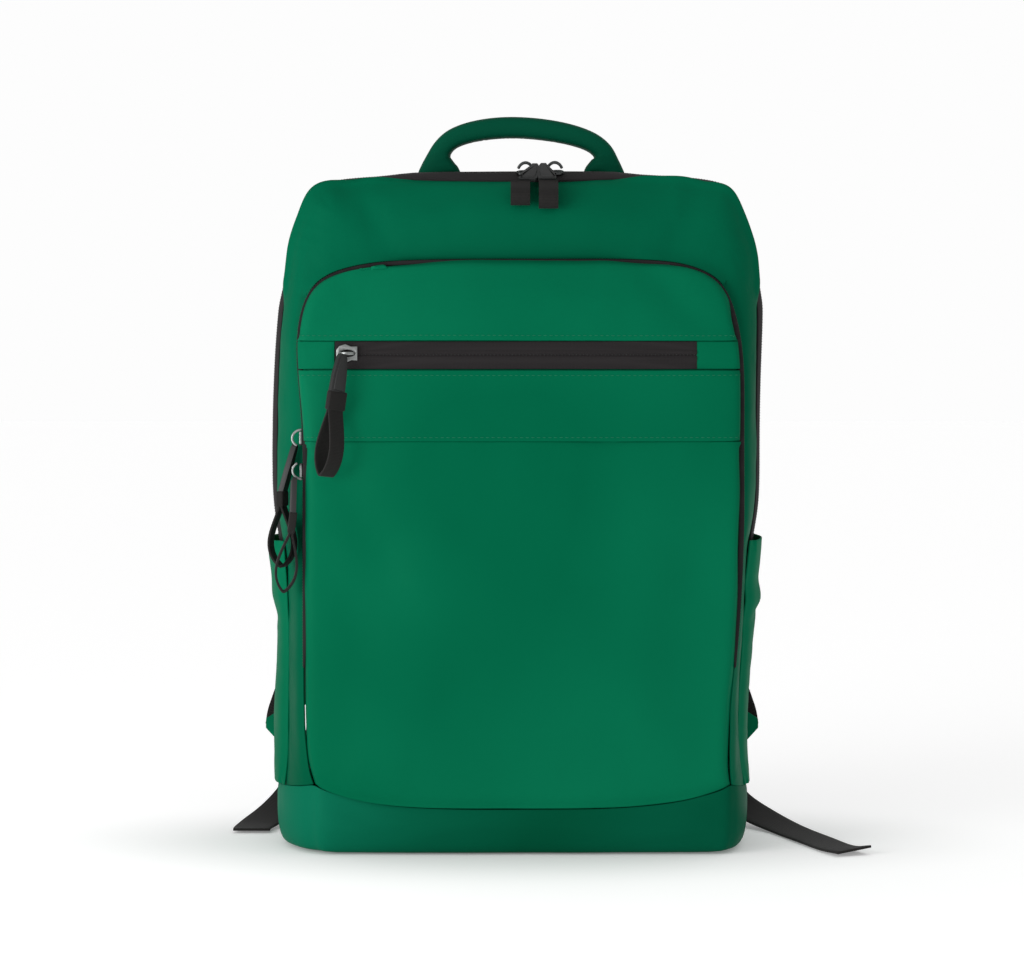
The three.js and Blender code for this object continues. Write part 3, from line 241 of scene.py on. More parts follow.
greenCloth = coatedCloth("coatedPolyester", "#005c3e", "#056b4a")
# Painted shade: the hood and the back gusset take a darker copy of the same cloth, for the shade on their upward slopes
hoodClothPaintedShade = coatedCloth("coatedPolyesterHood", "#005036", "#025f42")
# Painted light and shade: the boot's colours are passed the other way round, so the noise paints its left end paler, as
# if lit from the left, and its middle darker, as if shaded under the front's bulge
bootClothPaintedLightAndShade = coatedCloth("coatedPolyesterBoot", "#07644a", "#004a32")
# Painted shade: the handle takes a darker copy of the same cloth, for the shade on it
handleClothPaintedShade = coatedCloth("coatedPolyesterHandle", "#044531", "#07503a")
zipCloth = zipTapeCloth()
webbingCloth = ribbedWebbing("ribbedWebbing", 1.4, 0.5)
narrowWebbing = ribbedWebbing("narrowWebbing", 0.9, 0.25)
meshCloth = spacerMesh()
pullRubber = mouldedMatt("mouldedRubber", "#1f2020", 0.52, 0.9)
coilNylon = mouldedMatt("nylonCoil", "#0b0a0b", 0.45, 0.9)
buckleAcetal = mouldedMatt("mouldedAcetal", "#1b1c1c", 0.4, 1.2)
dullNickel = platedZinc("dullNickel", "#8f9291", 0.38)
gunMetal = platedZinc("gunMetalPlate", "#4a4c4c", 0.42)
greenThread = sewingThread("greenThread", "#0a6a4a")
print("stage: materials")


# Working helpers
def pick(piece):
    bpy.ops.object.select_all(action="DESELECT")
    piece.select_set(True)
    bpy.context.view_layer.objects.active = piece


def applyModifiers(piece):
    pick(piece)
    for modifier in list(piece.modifiers):
        bpy.ops.object.modifier_apply(modifier=modifier.name)


def dress(piece, material, slot, *replaced):
    piece.data.materials.clear()
    piece.data.materials.append(material)
    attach(piece, "root")
    if replaced:
        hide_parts(*replaced)
    return piece


# A merged copy of a CAD node's mesh, with its triangles paired into quads
def mergedCopy(node, name):
    piece = bpy.data.objects.new(name, nodes[node].data.copy())
    bpy.context.scene.collection.objects.link(piece)
    piece.data.materials.clear()
    pick(piece)
    bpy.ops.mesh.customdata_custom_splitnormals_clear()
    bpy.ops.object.mode_set(mode="EDIT")
    bpy.ops.mesh.select_all(action="SELECT")
    bpy.ops.mesh.remove_doubles(threshold=0.02 * mm)
    bpy.ops.mesh.tris_convert_to_quads(face_threshold=math.radians(60), shape_threshold=math.radians(60))
    bpy.ops.object.mode_set(mode="OBJECT")
    return piece


# The outer face of a sewn panel as an open sheet. Facing points at a face on that side.
def outerSheet(node, name, facing, foldAngle=55):
    piece = mergedCopy(node, name)
    mesh = piece.data
    outward = [p for p in mesh.polygons if p.normal.dot(facing) > 0.7]
    seed = max(outward, key=lambda p: p.center.dot(facing)).index
    bpy.ops.object.mode_set(mode="EDIT")
    bpy.ops.mesh.select_mode(type="EDGE")
    bpy.ops.mesh.select_all(action="DESELECT")
    bpy.ops.mesh.edges_select_sharp(sharpness=math.radians(foldAngle))
    bpy.ops.mesh.mark_sharp()
    bpy.ops.mesh.select_all(action="DESELECT")
    bpy.ops.mesh.select_mode(type="FACE")
    bpy.ops.object.mode_set(mode="OBJECT")
    mesh.polygons[seed].select = True
    bpy.ops.object.mode_set(mode="EDIT")
    bpy.ops.mesh.select_linked(delimit={"SHARP"})
    bpy.ops.mesh.select_all(action="INVERT")
    bpy.ops.mesh.delete(type="FACE")
    bpy.ops.mesh.select_all(action="SELECT")
    bpy.ops.mesh.mark_sharp(clear=True)
    bpy.ops.object.mode_set(mode="OBJECT")
    return piece


def subdivide(piece, levels):
    modifier = piece.modifiers.new("Subdivision", "SUBSURF")
    modifier.levels = levels
    modifier.render_levels = levels
    modifier.boundary_smooth = "PRESERVE_CORNERS"
    applyModifiers(piece)


def readPoints(piece, what="co"):
    values = np.empty(len(piece.data.vertices) * 3)
    piece.data.vertices.foreach_get(what, values)
    return values.reshape(-1, 3)


def writePoints(piece, points):
    piece.data.vertices.foreach_set("co", points.ravel())
    piece.data.update()


# Moves each point along its normal by amount(point, normal), in metres
def pushOut(piece, amount):
    points, normals = readPoints(piece), readPoints(piece, "normal")
    far = np.array([amount(Vector(p), Vector(n)) for p, n in zip(points, normals)])
    writePoints(piece, points + normals * far[:, None])


# A search tree of the points on an open sheet's rims
def rimTree(piece):
    work = bmesh.new()
    work.from_mesh(piece.data)
    rim = [v.co.copy() for v in work.verts if v.is_boundary]
    work.free()
    tree = KDTree(len(rim))
    for i, point in enumerate(rim):
        tree.insert(point, i)
    tree.balance()
    return tree


# Cloth drawn in at its seams, with small gathers square to them. Share scales both by place.
def drawIn(piece, dip, reach, gather, spacing, share=None):
    tree = rimTree(piece)

    def amount(point, normal):
        near, _, away = tree.find(point)
        weight = share(near) if share else 1
        groove = -dip * mm * math.exp(-((away / (reach * mm)) ** 2))
        fade = away / (3.5 * reach * mm)
        wave = noise.noise(near / (spacing * mm)) + 0.5 * noise.noise(near / (0.45 * spacing * mm) + Vector((7, 3, 5)))
        return weight * (groove + gather * mm * wave * 2.2 * fade * math.exp(-fade * 1.3))

    pushOut(piece, amount)


# Moves points by move(point) where they lie near a rim, fading out over reach
def shiftRim(piece, reach, move):
    tree = rimTree(piece)
    points = readPoints(piece)
    for i, point in enumerate(points):
        near, _, away = tree.find(point)
        if away < reach * mm:
            points[i] += np.array(move(near)) * (1 - away / (reach * mm))
    writePoints(piece, points)


# A smooth step from 0 to 1 between two values
def ramp(value, start, end):
    share = min(max((value - start) / (end - start), 0), 1)
    return share * share * (3 - 2 * share)


# Soft dents and swellings, each a row of its own: place, size along and across, turn, depth
def foldRow(at, along, across, turn, depth, axes=("x", "z")):
    return {"at": at, "along": along, "across": across, "turn": turn, "depth": depth, "axes": axes}


def crease(piece, folds, wander=0.0, wanderSize=60, facing=None):
    def amount(point, normal):
        broad = noise.noise(point / (wanderSize * mm))
        fine = noise.noise(point / (0.35 * wanderSize * mm))
        total = wander * mm * (broad + 0.35 * fine)
        for fold in folds:
            u, v = (getattr(point, axis) / mm for axis in fold["axes"])
            turn = math.radians(fold["turn"])
            du, dv = u - fold["at"][0], v - fold["at"][1]
            a = (du * math.cos(turn) + dv * math.sin(turn)) / fold["along"]
            b = (dv * math.cos(turn) - du * math.sin(turn)) / fold["across"]
            if abs(a) < 3 and abs(b) < 3:
                total += fold["depth"] * mm * math.exp(-a * a - b * b)
        return total * (1 if facing is None else max(0, normal.dot(facing)))

    pushOut(piece, amount)


def softenEdges(piece, rim, segments=3, angle=35, smooth=40):
    soft = piece.modifiers.new("Bevel", "BEVEL")
    soft.width = rim * mm
    soft.segments = segments
    soft.limit_method = "ANGLE"
    soft.angle_limit = math.radians(angle)
    applyModifiers(piece)
    bpy.ops.object.shade_smooth_by_angle(angle=math.radians(smooth))


# Gives an open sheet its thickness inwards and rounds the folded rims
def thicken(piece, thick, rimRadius):
    solid = piece.modifiers.new("Solidify", "SOLIDIFY")
    solid.thickness = thick * mm
    solid.offset = -1
    solid.use_even_offset = False  # an even wall throws spikes where a fold is sharp
    solid.thickness_clamp = 0.6
    softenEdges(piece, rimRadius, 2, 60, smooth=50)


# The rims of an open sheet as ordered lines, split at its corners
def rimLines(piece):
    work = bmesh.new()
    work.from_mesh(piece.data)
    open_ = {e for e in work.edges if e.is_boundary}
    lines = []
    while open_:
        edge = open_.pop()
        walk = list(edge.verts)
        following = edge
        while following:
            following = next((e for e in walk[-1].link_edges if e in open_), None)
            if following:
                open_.discard(following)
                walk.append(following.other_vert(walk[-1]))
        loop = [v.co.copy() for v in walk[:-1]] if walk[0] == walk[-1] else [v.co.copy() for v in walk]
        count = len(loop)
        runs = [(loop[(i + 1) % count] - loop[i]).normalized() for i in range(count)]
        corners = [i for i in range(count) if runs[i - 1].dot(runs[i]) < 0.6]
        if not corners:
            lines.append(loop + loop[:1])
            continue
        for k, start in enumerate(corners):
            end = corners[(k + 1) % len(corners)]
            steps = (end - start) % count or count
            lines.append([loop[(start + j) % count] for j in range(steps + 1)])
    work.free()
    return lines


# Points every pitch along a line, each with its direction
def evenly(line, pitch, margin=0.0):
    lengths = [(b - a).length for a, b in zip(line, line[1:])]
    total = sum(lengths)
    count = max(int((total - 2 * margin) / pitch), 1)
    places, i, passed = [], 0, 0.0
    for k in range(count + 1):
        want = margin + (total - 2 * margin) * k / count
        while i < len(lengths) - 1 and passed + lengths[i] < want:
            passed += lengths[i]
            i += 1
        share = (want - passed) / max(lengths[i], 1e-9)
        places.append((line[i].lerp(line[i + 1], share), (line[i + 1] - line[i]).normalized()))
    return places


# Places for stitches on a sheet, a set distance inside one of its rims
def insideRim(sheet, line, inset, pitch, margin=2.0):
    bpy.context.view_layer.update()
    places = []
    for point, run in evenly(line, pitch * mm, margin * mm):
        _, _, normal, _ = sheet.closest_point_on_mesh(point)
        inward = normal.cross(run).normalized() * inset * mm
        for guess in (inward, -inward):
            _, place, facing, _ = sheet.closest_point_on_mesh(point + guess)
            if (place - point).length > 0.6 * inset * mm:
                places.append((place, run, facing))
                break
    return places


# Copies of a small unit at every place, joined into one mesh. The unit lies along X, facing Z.
def repeatAt(name, unit, places, lift=0.0):
    corners = np.array([v.co for v in unit.data.vertices])
    faces = [list(p.vertices) for p in unit.data.polygons]
    points, allFaces = [], []
    for place, run, facing in places:
        across = facing.cross(run).normalized()
        along = across.cross(facing).normalized()
        turned = corners @ np.array([along, across, facing.normalized()])
        base = len(points) * len(corners)
        points.append(turned + np.array(place + facing * lift * mm))
        allFaces += [[base + i for i in face] for face in faces]
    mesh = bpy.data.meshes.new(name)
    mesh.from_pydata(np.concatenate(points).tolist(), [], allFaces)
    mesh.update()
    piece = bpy.data.objects.new(name, mesh)
    bpy.context.scene.collection.objects.link(piece)
    pick(piece)
    bpy.ops.object.shade_smooth()
    return piece


# A small rounded grain, the start of stitches and of zip coils
def makeGrain(name, sizes):
    bpy.ops.object.select_all(action="DESELECT")
    bpy.ops.mesh.primitive_uv_sphere_add(segments=6, ring_count=4, radius=0.5 * mm)
    grain = bpy.context.active_object
    grain.name = name
    grain.scale = sizes
    bpy.ops.object.transform_apply(location=True, rotation=True, scale=True)
    return grain


stitch = makeGrain("stitchUnit", (2.5, 0.5, 0.42))
coilTooth = makeGrain("coilUnit", (0.8, 2.6, 0.8))
units = [stitch, coilTooth]


# A band of webbing bent along a path of (centre, side, width), with one UV map that holds
# metres across and along
def band(name, path, thick, columns=6, steps=4, edge=0.35):
    rows = (len(path) - 1) * steps
    bpy.ops.object.select_all(action="DESELECT")
    bpy.ops.mesh.primitive_grid_add(x_subdivisions=columns, y_subdivisions=rows, size=1, calc_uvs=True)
    piece = bpy.context.active_object
    piece.name = name
    centres = [np.array(row[0]) for row in path]
    sides = [np.array(row[1]) for row in path]
    widths = [row[2] for row in path]
    lengths = np.concatenate([[0], np.cumsum([np.linalg.norm(b - a) for a, b in zip(centres, centres[1:])])])

    def track(values, place):
        i = min(int(place), len(values) - 2)
        f = place - i
        here, after = values[i], values[i + 1]
        before = values[i - 1] if i > 0 else 2 * here - after
        beyond = values[i + 2] if i + 2 < len(values) else 2 * after - here
        bend = 2 * before - 5 * here + 4 * after - beyond
        twist = 3 * here - 3 * after + beyond - before
        return here + 0.5 * f * (after - before + f * (bend + f * twist))

    grid = readPoints(piece)
    points = np.empty_like(grid)
    flat = np.empty((len(grid), 2))
    for k, (u, v, _) in enumerate(grid):
        place = (v + 0.5) * (len(path) - 1)
        centre, side = track(centres, place), track(sides, place)
        width = float(track(widths, place))
        side = side / np.linalg.norm(side)
        points[k] = centre + side * u * width
        flat[k] = (u * width, np.interp(place, range(len(path)), lengths))
    writePoints(piece, points)
    layer = piece.data.uv_layers.active
    layer.name = "band"
    for loop in piece.data.loops:
        layer.data[loop.index].uv = flat[loop.vertex_index]
    solid = piece.modifiers.new("Solidify", "SOLIDIFY")
    solid.thickness = thick * mm
    solid.offset = 0
    softenEdges(piece, edge, 2, 50)
    return piece


# Front: three cloths sewn round the compartment. Seam holds drawIn's dip, reach, gather and spacing.
front = {
    "stitchPitch": 3.6,
    "lower": {"levels": 3, "thick": 1.2, "wander": 1.7, "seam": (1.5, 5.0, 0.32, 13), "folds": [
        foldRow((-78, 90), 74, 28, 62, 3.2), foldRow((-112, 60), 40, 16, 48, -1.2),
        foldRow((96, 74), 52, 22, -58, 2.2), foldRow((-20, 60), 80, 24, 4, 1.6),
        foldRow((-100, 225), 60, 16, -60, -2.0), foldRow((118, 190), 70, 18, 78, -1.6),
        foldRow((20, 160), 90, 50, 30, 1.8), foldRow((-60, 170), 50, 20, 70, 1.6),
    ]},
    "flap": {"levels": 3, "thick": 1.4, "wander": 0.9, "seam": (0.8, 3.0, 0.2, 12), "folds": [
        foldRow((-80, 292), 50, 20, 0, 0.5), foldRow((60, 290), 60, 22, 0, 0.4),
    ]},
    "upper": {"levels": 3, "thick": 1.2, "wander": 1.5, "seam": (1.2, 4.5, 0.3, 12), "folds": [
        foldRow((-96, 362), 44, 13, 42, -2.4), foldRow((-40, 350), 60, 16, 10, 1.5),
        foldRow((104, 362), 40, 13, -48, -2.1), foldRow((50, 356), 60, 18, -6, 1.4),
    ]},
}


# The right rim stands back from the zip, which shows beside it as a black band
def rightTrim(rim):
    high = ramp(rim.z, 0.12, 0.2) * (1 - ramp(rim.z, 0.345, 0.362))
    return Vector((-2.2 * mm * high if rim.x > 0.1 else 0, 0, 0))


# The left rim reaches out over the zip beside it
def leftReach(rim):
    return Vector((-1.4 * mm if rim.x < -0.13 else 0, 0, 0))


# Seam allowances: a strip of the cloth turned in behind each level seam
def makeAllowance(name, line, behind, wide=9):
    line = [p for p, _ in evenly(line, 8 * mm)]
    path = [(Vector((p.x, p.y + behind * mm, p.z)), up, wide * mm) for p in line]
    strip = band(name, path, 0.8, columns=2, steps=1, edge=0.1)
    dress(strip, greenCloth, "coated_green")


def makeFront():
    lower = outerSheet("front_lower", "frontLower", forward)
    subdivide(lower, front["lower"]["levels"])
    topOfLower = max(p[2] for p in readPoints(lower))
    crease(lower, front["lower"]["folds"], front["lower"]["wander"], wanderSize=75)
    drawIn(lower, *front["lower"]["seam"], share=lambda rim: 0.1 if rim.z > topOfLower - 2 * mm else 1)
    shiftRim(lower, 8, rightTrim)
    thicken(lower, front["lower"]["thick"], 0.45)
    dress(lower, greenCloth, "coated_green", "front_lower")

    flap = outerSheet("front_flap", "frontFlap", forward)
    subdivide(flap, front["flap"]["levels"])
    crease(flap, front["flap"]["folds"], front["flap"]["wander"])
    drawIn(flap, *front["flap"]["seam"], share=lambda rim: 0.15 if abs(rim.x) < 130 * mm else 1)
    # The hem is the lowest long line of its rims and the welt the highest
    hem = min(rimLines(flap), key=lambda line: sum(p.z for p in line) / len(line) - 0.001 * len(line))
    welt = max(rimLines(flap), key=lambda line: sum(p.z for p in line) / len(line) + 0.001 * len(line))
    shiftRim(flap, 8, rightTrim)
    hem, welt = ([p + rightTrim(p) for p in line] for line in (hem, welt))
    rows = [insideRim(flap, hem, 2.6, front["stitchPitch"]), insideRim(flap, welt, 3.4, front["stitchPitch"])]
    makeAllowance("hemAllowance", hem, 2.9)
    makeAllowance("lowWeltAllowance", welt, 4.2, 12)
    thicken(flap, front["flap"]["thick"], 0.5)
    dress(flap, greenCloth, "coated_green", "front_flap")

    upper = outerSheet("front_upper", "frontUpper", forward)
    subdivide(upper, front["upper"]["levels"])
    crease(upper, front["upper"]["folds"], front["upper"]["wander"])
    bottom = min(p[2] for p in readPoints(upper))
    drawIn(upper, *front["upper"]["seam"], share=lambda rim: 0.1 if rim.z < bottom + 2 * mm else 1)
    level = {round(p.x, 5): p for line in rimLines(upper) for p in line if p.z < bottom + 3 * mm}
    lowRim = [level[x] for x in sorted(level)]
    shiftRim(upper, 8, rightTrim)
    lowRim = [p + rightTrim(p) for p in lowRim]
    rows.append(insideRim(upper, lowRim, 3.2, front["stitchPitch"]))
    makeAllowance("highWeltAllowance", lowRim, 4.2, 12)
    thicken(upper, front["upper"]["thick"], 0.5)
    dress(upper, greenCloth, "coated_green", "front_upper")

    for name, places in zip(("hemStitches", "weltStitchesBelow", "weltStitchesAbove"), rows):
        row = repeatAt(name, stitch, places, lift=0.02)
        dress(row, greenThread, "coated_green")


makeFront()
print("stage: front")


# The level zip: tape halves that meet at the middle, with the coil's stitches between
pocketZip = {"levels": 3, "thick": 0.9, "pitch": 2.3, "coilRise": 0.5}


# Places for a coil's teeth along a line that lies on a sheet
def coilPlaces(sheet, line, pitch):
    bpy.context.view_layer.update()
    places = []
    for point, run in evenly(line, pitch * mm, 1.5 * mm):
        _, place, facing, _ = sheet.closest_point_on_mesh(point)
        places.append((place, run, facing))
    return places


def makePocketZip():
    tape = outerSheet("pocket_zip", "pocketZipTape", forward)
    subdivide(tape, pocketZip["levels"])
    points = readPoints(tape)
    middle = (points[:, 2].max() + points[:, 2].min()) / 2

    def ridge(point, normal):
        off = abs(point.z - middle) / mm
        groove = -0.5 * math.exp(-((off / 0.5) ** 2))
        return (groove + pocketZip["coilRise"] * math.exp(-(((off - 1.6) / 1.3) ** 2))) * mm

    pushOut(tape, ridge)
    xs = np.linspace(points[:, 0].min(), points[:, 0].max(), 40)
    line = [Vector((x, -0.09, middle)) for x in xs]
    bpy.context.view_layer.update()
    places = []
    for point, run in evenly(line, pocketZip["pitch"] * mm, 1.5 * mm):
        hit, place, facing, _ = tape.ray_cast(point, backward)
        if hit:
            places.append((place, run, facing))
    thicken(tape, pocketZip["thick"], 0.2)
    dress(tape, zipCloth, "zip_tape", "pocket_zip")
    teeth = repeatAt("pocketZipCoil", coilTooth, places, lift=0.12)
    dress(teeth, coilNylon, "zip_tape")
    for side in ("left", "right"):
        end = outerSheet(f"zip_end_{side}", f"zipEnd{side.title()}", forward)
        subdivide(end, pocketZip["levels"])
        drawIn(end, 0.8, 3.0, 0.15, 9, lambda rim: 0.4)
        shiftRim(end, 8, rightTrim if side == "right" else leftReach)
        thicken(end, 0.9, 0.2)
        dress(end, greenCloth, "coated_green", f"zip_end_{side}")


makePocketZip()


# The zip round the front compartment and the main zip, each with its coil
zips = {
    "compartment": {"node": "compartment_zip", "name": "compartmentZipTape", "pitch": 1.8, "thick": 3.4, "lift": 0.15},
    "main": {"node": "main_zip", "name": "mainZipTape", "pitch": 1.8, "thick": 2.6, "lift": -0.1},
}


# 1 round the top corners, where the hood's edge laps over the main zip, and 0 elsewhere
def cornerShare(rim):
    return ramp(rim.z, 0.352, 0.372) * ramp(abs(rim.x), 0.062, 0.09)


# The line halfway between a strip's two long rims
def middleLine(sheet):
    long = sorted(rimLines(sheet), key=lambda line: -sum((b - a).length for a, b in zip(line, line[1:])))[:2]
    reach = [sum((b - a).length for a, b in zip(line, line[1:])) for line in long]
    first, second = ([place for place, _ in evenly(line, far / 300)] for line, far in zip(long, reach))
    if (first[0] - second[0]).length > (first[0] - second[-1]).length:
        second.reverse()
    return [a.lerp(b, 0.5) for a, b in zip(first, second)]


def makeZip(zip_):
    tape = outerSheet(zip_["node"], zip_["name"], up, foldAngle=70)
    subdivide(tape, 2)
    if zip_["node"] == "main_zip":
        # It swells between its seams, and the hood's edge keeps it down at the top corners
        pushOut(tape, lambda point, normal: 1.5 * mm * (1 - cornerShare(point)))
        drawIn(tape, 1.7, 4.0, 0.05, 9)
    line = middleLine(tape)
    places = coilPlaces(tape, line, zip_["pitch"])
    thicken(tape, zip_["thick"], 0.2)
    dress(tape, zipCloth, "zip_tape", zip_["node"])
    teeth = repeatAt(zip_["name"].replace("Tape", "Coil"), coilTooth, places, lift=zip_["lift"])
    dress(teeth, coilNylon, "zip_tape")


for zip_ in zips.values():
    makeZip(zip_)
print("stage: zips")


# The main shell: hood in front of the main zip, gusset behind it
shell = {
    "hood": {"levels": 3, "thick": 1.2, "folds": [
        foldRow((-58, 424), 46, 13, 18, -2.6), foldRow((-96, 420), 60, 10, -58, -2.2),
        foldRow((70, 425), 60, 15, -10, -1.8), foldRow((122, 425), 44, 10, 66, -2.4),
        foldRow((8, 418), 60, 12, 0, 1.4), foldRow((-138, 330), 80, 8, 84, -0.9),
        foldRow((30, 402), 80, 14, 4, 1.6),
    ]},
    "gusset": {"levels": 2, "thick": 1.2},
    "bootFolds": [
        foldRow((-70, 22), 60, 7, 3, 1.2), foldRow((60, 18), 70, 7, -2, 1.3), foldRow((0, 30), 90, 6, 0, -1.0),
        foldRow((-104, 28), 26, 5, -22, -1.2), foldRow((-46, 16), 40, 5, 12, 0.9),
        foldRow((128, 30), 24, 5, -30, -1.1), foldRow((96, 14), 40, 5, 6, 0.9),
    ],
    "pocketFolds": {
        "left": [
            foldRow((0, 190), 60, 26, 0, 2.2, axes=("y", "z")), foldRow((0, 165), 30, 9, 6, 1.4, axes=("y", "z")),
            foldRow((4, 152), 30, 5, 8, -0.9, axes=("y", "z")), foldRow((10, 84), 40, 8, 60, -0.9, axes=("y", "z")),
        ],
        "right": [
            foldRow((0, 176), 40, 6, 4, -0.7, axes=("y", "z")), foldRow((0, 163), 40, 7, 0, 1.8, axes=("y", "z")),
            foldRow((-8, 153), 26, 4, 12, -1.3, axes=("y", "z")), foldRow((10, 84), 40, 8, 60, -0.9, axes=("y", "z")),
        ],
    },
}


def makeShell():
    hood = outerSheet("hood", "hoodCover", up)
    subdivide(hood, shell["hood"]["levels"])
    crease(hood, shell["hood"]["folds"], wander=1.4, wanderSize=55)
    drawIn(hood, 1.0, 4.0, 0.35, 12, lambda rim: 0.9 - 3.4 * cornerShare(rim) if rim.y > -0.045 else 0.9)
    thicken(hood, shell["hood"]["thick"], 0.45)
    dress(hood, hoodClothPaintedShade, "coated_green", "hood")

    gusset = outerSheet("back_gusset", "backGusset", up)
    subdivide(gusset, shell["gusset"]["levels"])
    crease(gusset, [], wander=1.0, wanderSize=50)
    drawIn(gusset, 0.8, 4.0, 0.4, 13)
    thicken(gusset, shell["gusset"]["thick"], 0.45)
    dress(gusset, hoodClothPaintedShade, "coated_green", "back_gusset")

    boot = outerSheet("boot", "bootTray", forward, foldAngle=78)
    subdivide(boot, 2)
    # Nothing below the seam line leaves the floor, so the folds fade out there
    crease(boot, shell["bootFolds"], wander=0.9, wanderSize=45, facing=forward)
    drawIn(boot, 0.7, 3.0, 0.3, 14)
    thicken(boot, 1.6, 0.5)
    dress(boot, bootClothPaintedLightAndShade, "coated_green", "boot")

    for side, facing in (("left", left), ("right", right)):
        pocket = outerSheet(f"side_pocket_{side}", f"sidePocket{side.title()}", facing)
        subdivide(pocket, 3)
        frontOfPocket = readPoints(pocket)[:, 1].min()
        crease(pocket, shell["pocketFolds"][side], wander=0.6, wanderSize=35)
        drawIn(pocket, 1.0, 5.0, 0.3, 10, lambda rim: 1.9 if rim.y < frontOfPocket + 6 * mm else 0.4)
        thicken(pocket, 1.3, 0.5)
        dress(pocket, greenCloth, "coated_green", f"side_pocket_{side}")
        tab = mergedCopy(f"side_tab_{side}", f"sideTab{side.title()}")
        softenEdges(tab, 0.9, angle=30)
        dress(tab, greenCloth, "coated_green", f"side_tab_{side}")


makeShell()
print("stage: shell")


# Padded pieces: remeshed, swollen by a short cloth simulation, then smoothed
padding = {
    "back": {"node": "back_panel", "name": "backPanel", "voxel": 5.0, "pressure": 3.0, "cap": 4.0, "fill": 0.6,
             "spread": (1.018, 1, 1.022)},
    "left": {"node": "shoulder_strap_left", "name": "shoulderStrapLeft", "voxel": 4.0, "pressure": 4.0, "cap": 4.0,
             "fill": 0.7},
    "right": {"node": "shoulder_strap_right", "name": "shoulderStrapRight", "voxel": 4.0, "pressure": 4.0, "cap": 4.0,
              "fill": 0.7},
}


def stuffed(pad):
    piece = mergedCopy(pad["node"], pad["name"])
    remesh = piece.modifiers.new("Remesh", "REMESH")
    remesh.mode = "VOXEL"
    remesh.voxel_size = pad["voxel"] * mm
    applyModifiers(piece)
    rest = readPoints(piece)
    if "spread" in pad:  # the remesh rounds its rim off, so it is let out to meet the cloth again
        middle = (rest.max(0) + rest.min(0)) / 2
        rest = middle + (rest - middle) * np.array(pad["spread"])
        writePoints(piece, rest)
    cloth = piece.modifiers.new("Cloth", "CLOTH")
    cloth.settings.use_pressure = True
    cloth.settings.uniform_pressure_force = pad["pressure"]
    cloth.settings.effector_weights.gravity = 0
    scene = bpy.context.scene
    for i in range(1, 21):
        scene.frame_set(i)
    swollen = piece.evaluated_get(bpy.context.evaluated_depsgraph_get())
    moved = np.empty(rest.size)
    swollen.data.vertices.foreach_get("co", moved)
    move = moved.reshape(-1, 3) - rest
    length = np.linalg.norm(move, axis=1, keepdims=True)
    scale = np.minimum(1, pad["cap"] * mm / np.maximum(length, 1e-9))
    piece.modifiers.remove(cloth)
    scene.frame_set(1)
    writePoints(piece, rest + move * scale)
    subdivide(piece, 1)
    pick(piece)
    bpy.ops.object.shade_smooth()
    dress(piece, meshCloth, "back_mesh", pad["node"])
    return piece


for pad in padding.values():
    stuffed(pad)
print("stage: padding")


# Carry handle: a padded roll of cloth, gathered on its inner side
handle = {"levels": 3, "fill": 0.8, "gather": 0.5}


def makeHandle():
    piece = mergedCopy("carry_handle", "carryHandle")
    subdivide(piece, handle["levels"])
    low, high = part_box("carry_handle")
    middle = Vector(((low.x + high.x) / 2, (low.y + high.y) / 2, low.z))

    def gathers(point, normal):
        spoke = math.atan2(point.z - middle.z, point.x - middle.x)
        inner = max(0, normal.dot((middle - point).normalized()))
        bunch = max(0, noise.noise(Vector((spoke * 4 + 2, 0, 0))) + 0.25)
        return handle["gather"] * mm * inner * bunch * noise.noise(Vector((spoke * 22, 0, 0)))

    pushOut(piece, gathers)
    pick(piece)
    bpy.ops.object.shade_smooth()
    dress(piece, handleClothPaintedShade, "coated_green", "carry_handle")


makeHandle()
print("stage: handle")


# Webbing: bands that follow the CAD strips ring by ring
def ringsOf(node, facing):
    piece = mergedCopy(node, "ringSource")
    work = bmesh.new()
    work.from_mesh(piece.data)
    tip = max(work.verts, key=lambda v: v.co.dot(facing))
    cap = max(tip.link_faces, key=lambda f: f.normal.dot(facing))
    flush = [f for e in cap.edges for f in e.link_faces if f.normal.dot(cap.normal) > 0.999]
    byIndex = lambda v: v.index
    layer = sorted({v for f in [cap, *flush] for v in f.verts}, key=byIndex)
    rings, seen = [], set()
    while layer:
        rings.append([v.co.copy() for v in layer])
        seen.update(layer)
        layer = sorted({e.other_vert(v) for v in layer for e in v.link_edges} - seen, key=byIndex)
    work.free()
    bpy.data.objects.remove(piece)
    path = []
    for ring in rings:
        centre = sum(ring, Vector()) / len(ring)
        one = ring[0]
        others = sorted(ring[1:], key=lambda p: (p - one).length)
        side = others[1] - one
        if path and side.dot(path[-1][1]) < 0:
            side = -side
        path.append((centre, side.normalized(), side.length))
    return path


def makeWebbing():
    for side in ("left", "right"):
        for node in ("strap_tail", "anchor_webbing", "strap_loop"):
            path = ringsOf(f"{node}_{side}", up)
            words = node.split("_")
            piece = band(words[0] + words[1].title() + side.title(), path, 1.7, steps=2)
            dress(piece, webbingCloth, "webbing_black", f"{node}_{side}")
        lock = mergedCopy(f"ladder_lock_{side}", f"ladderLock{side.title()}")
        softenEdges(lock, 0.9, angle=30)
        dress(lock, buckleAcetal, "buckle_plastic", f"ladder_lock_{side}")


makeWebbing()
print("stage: webbing")


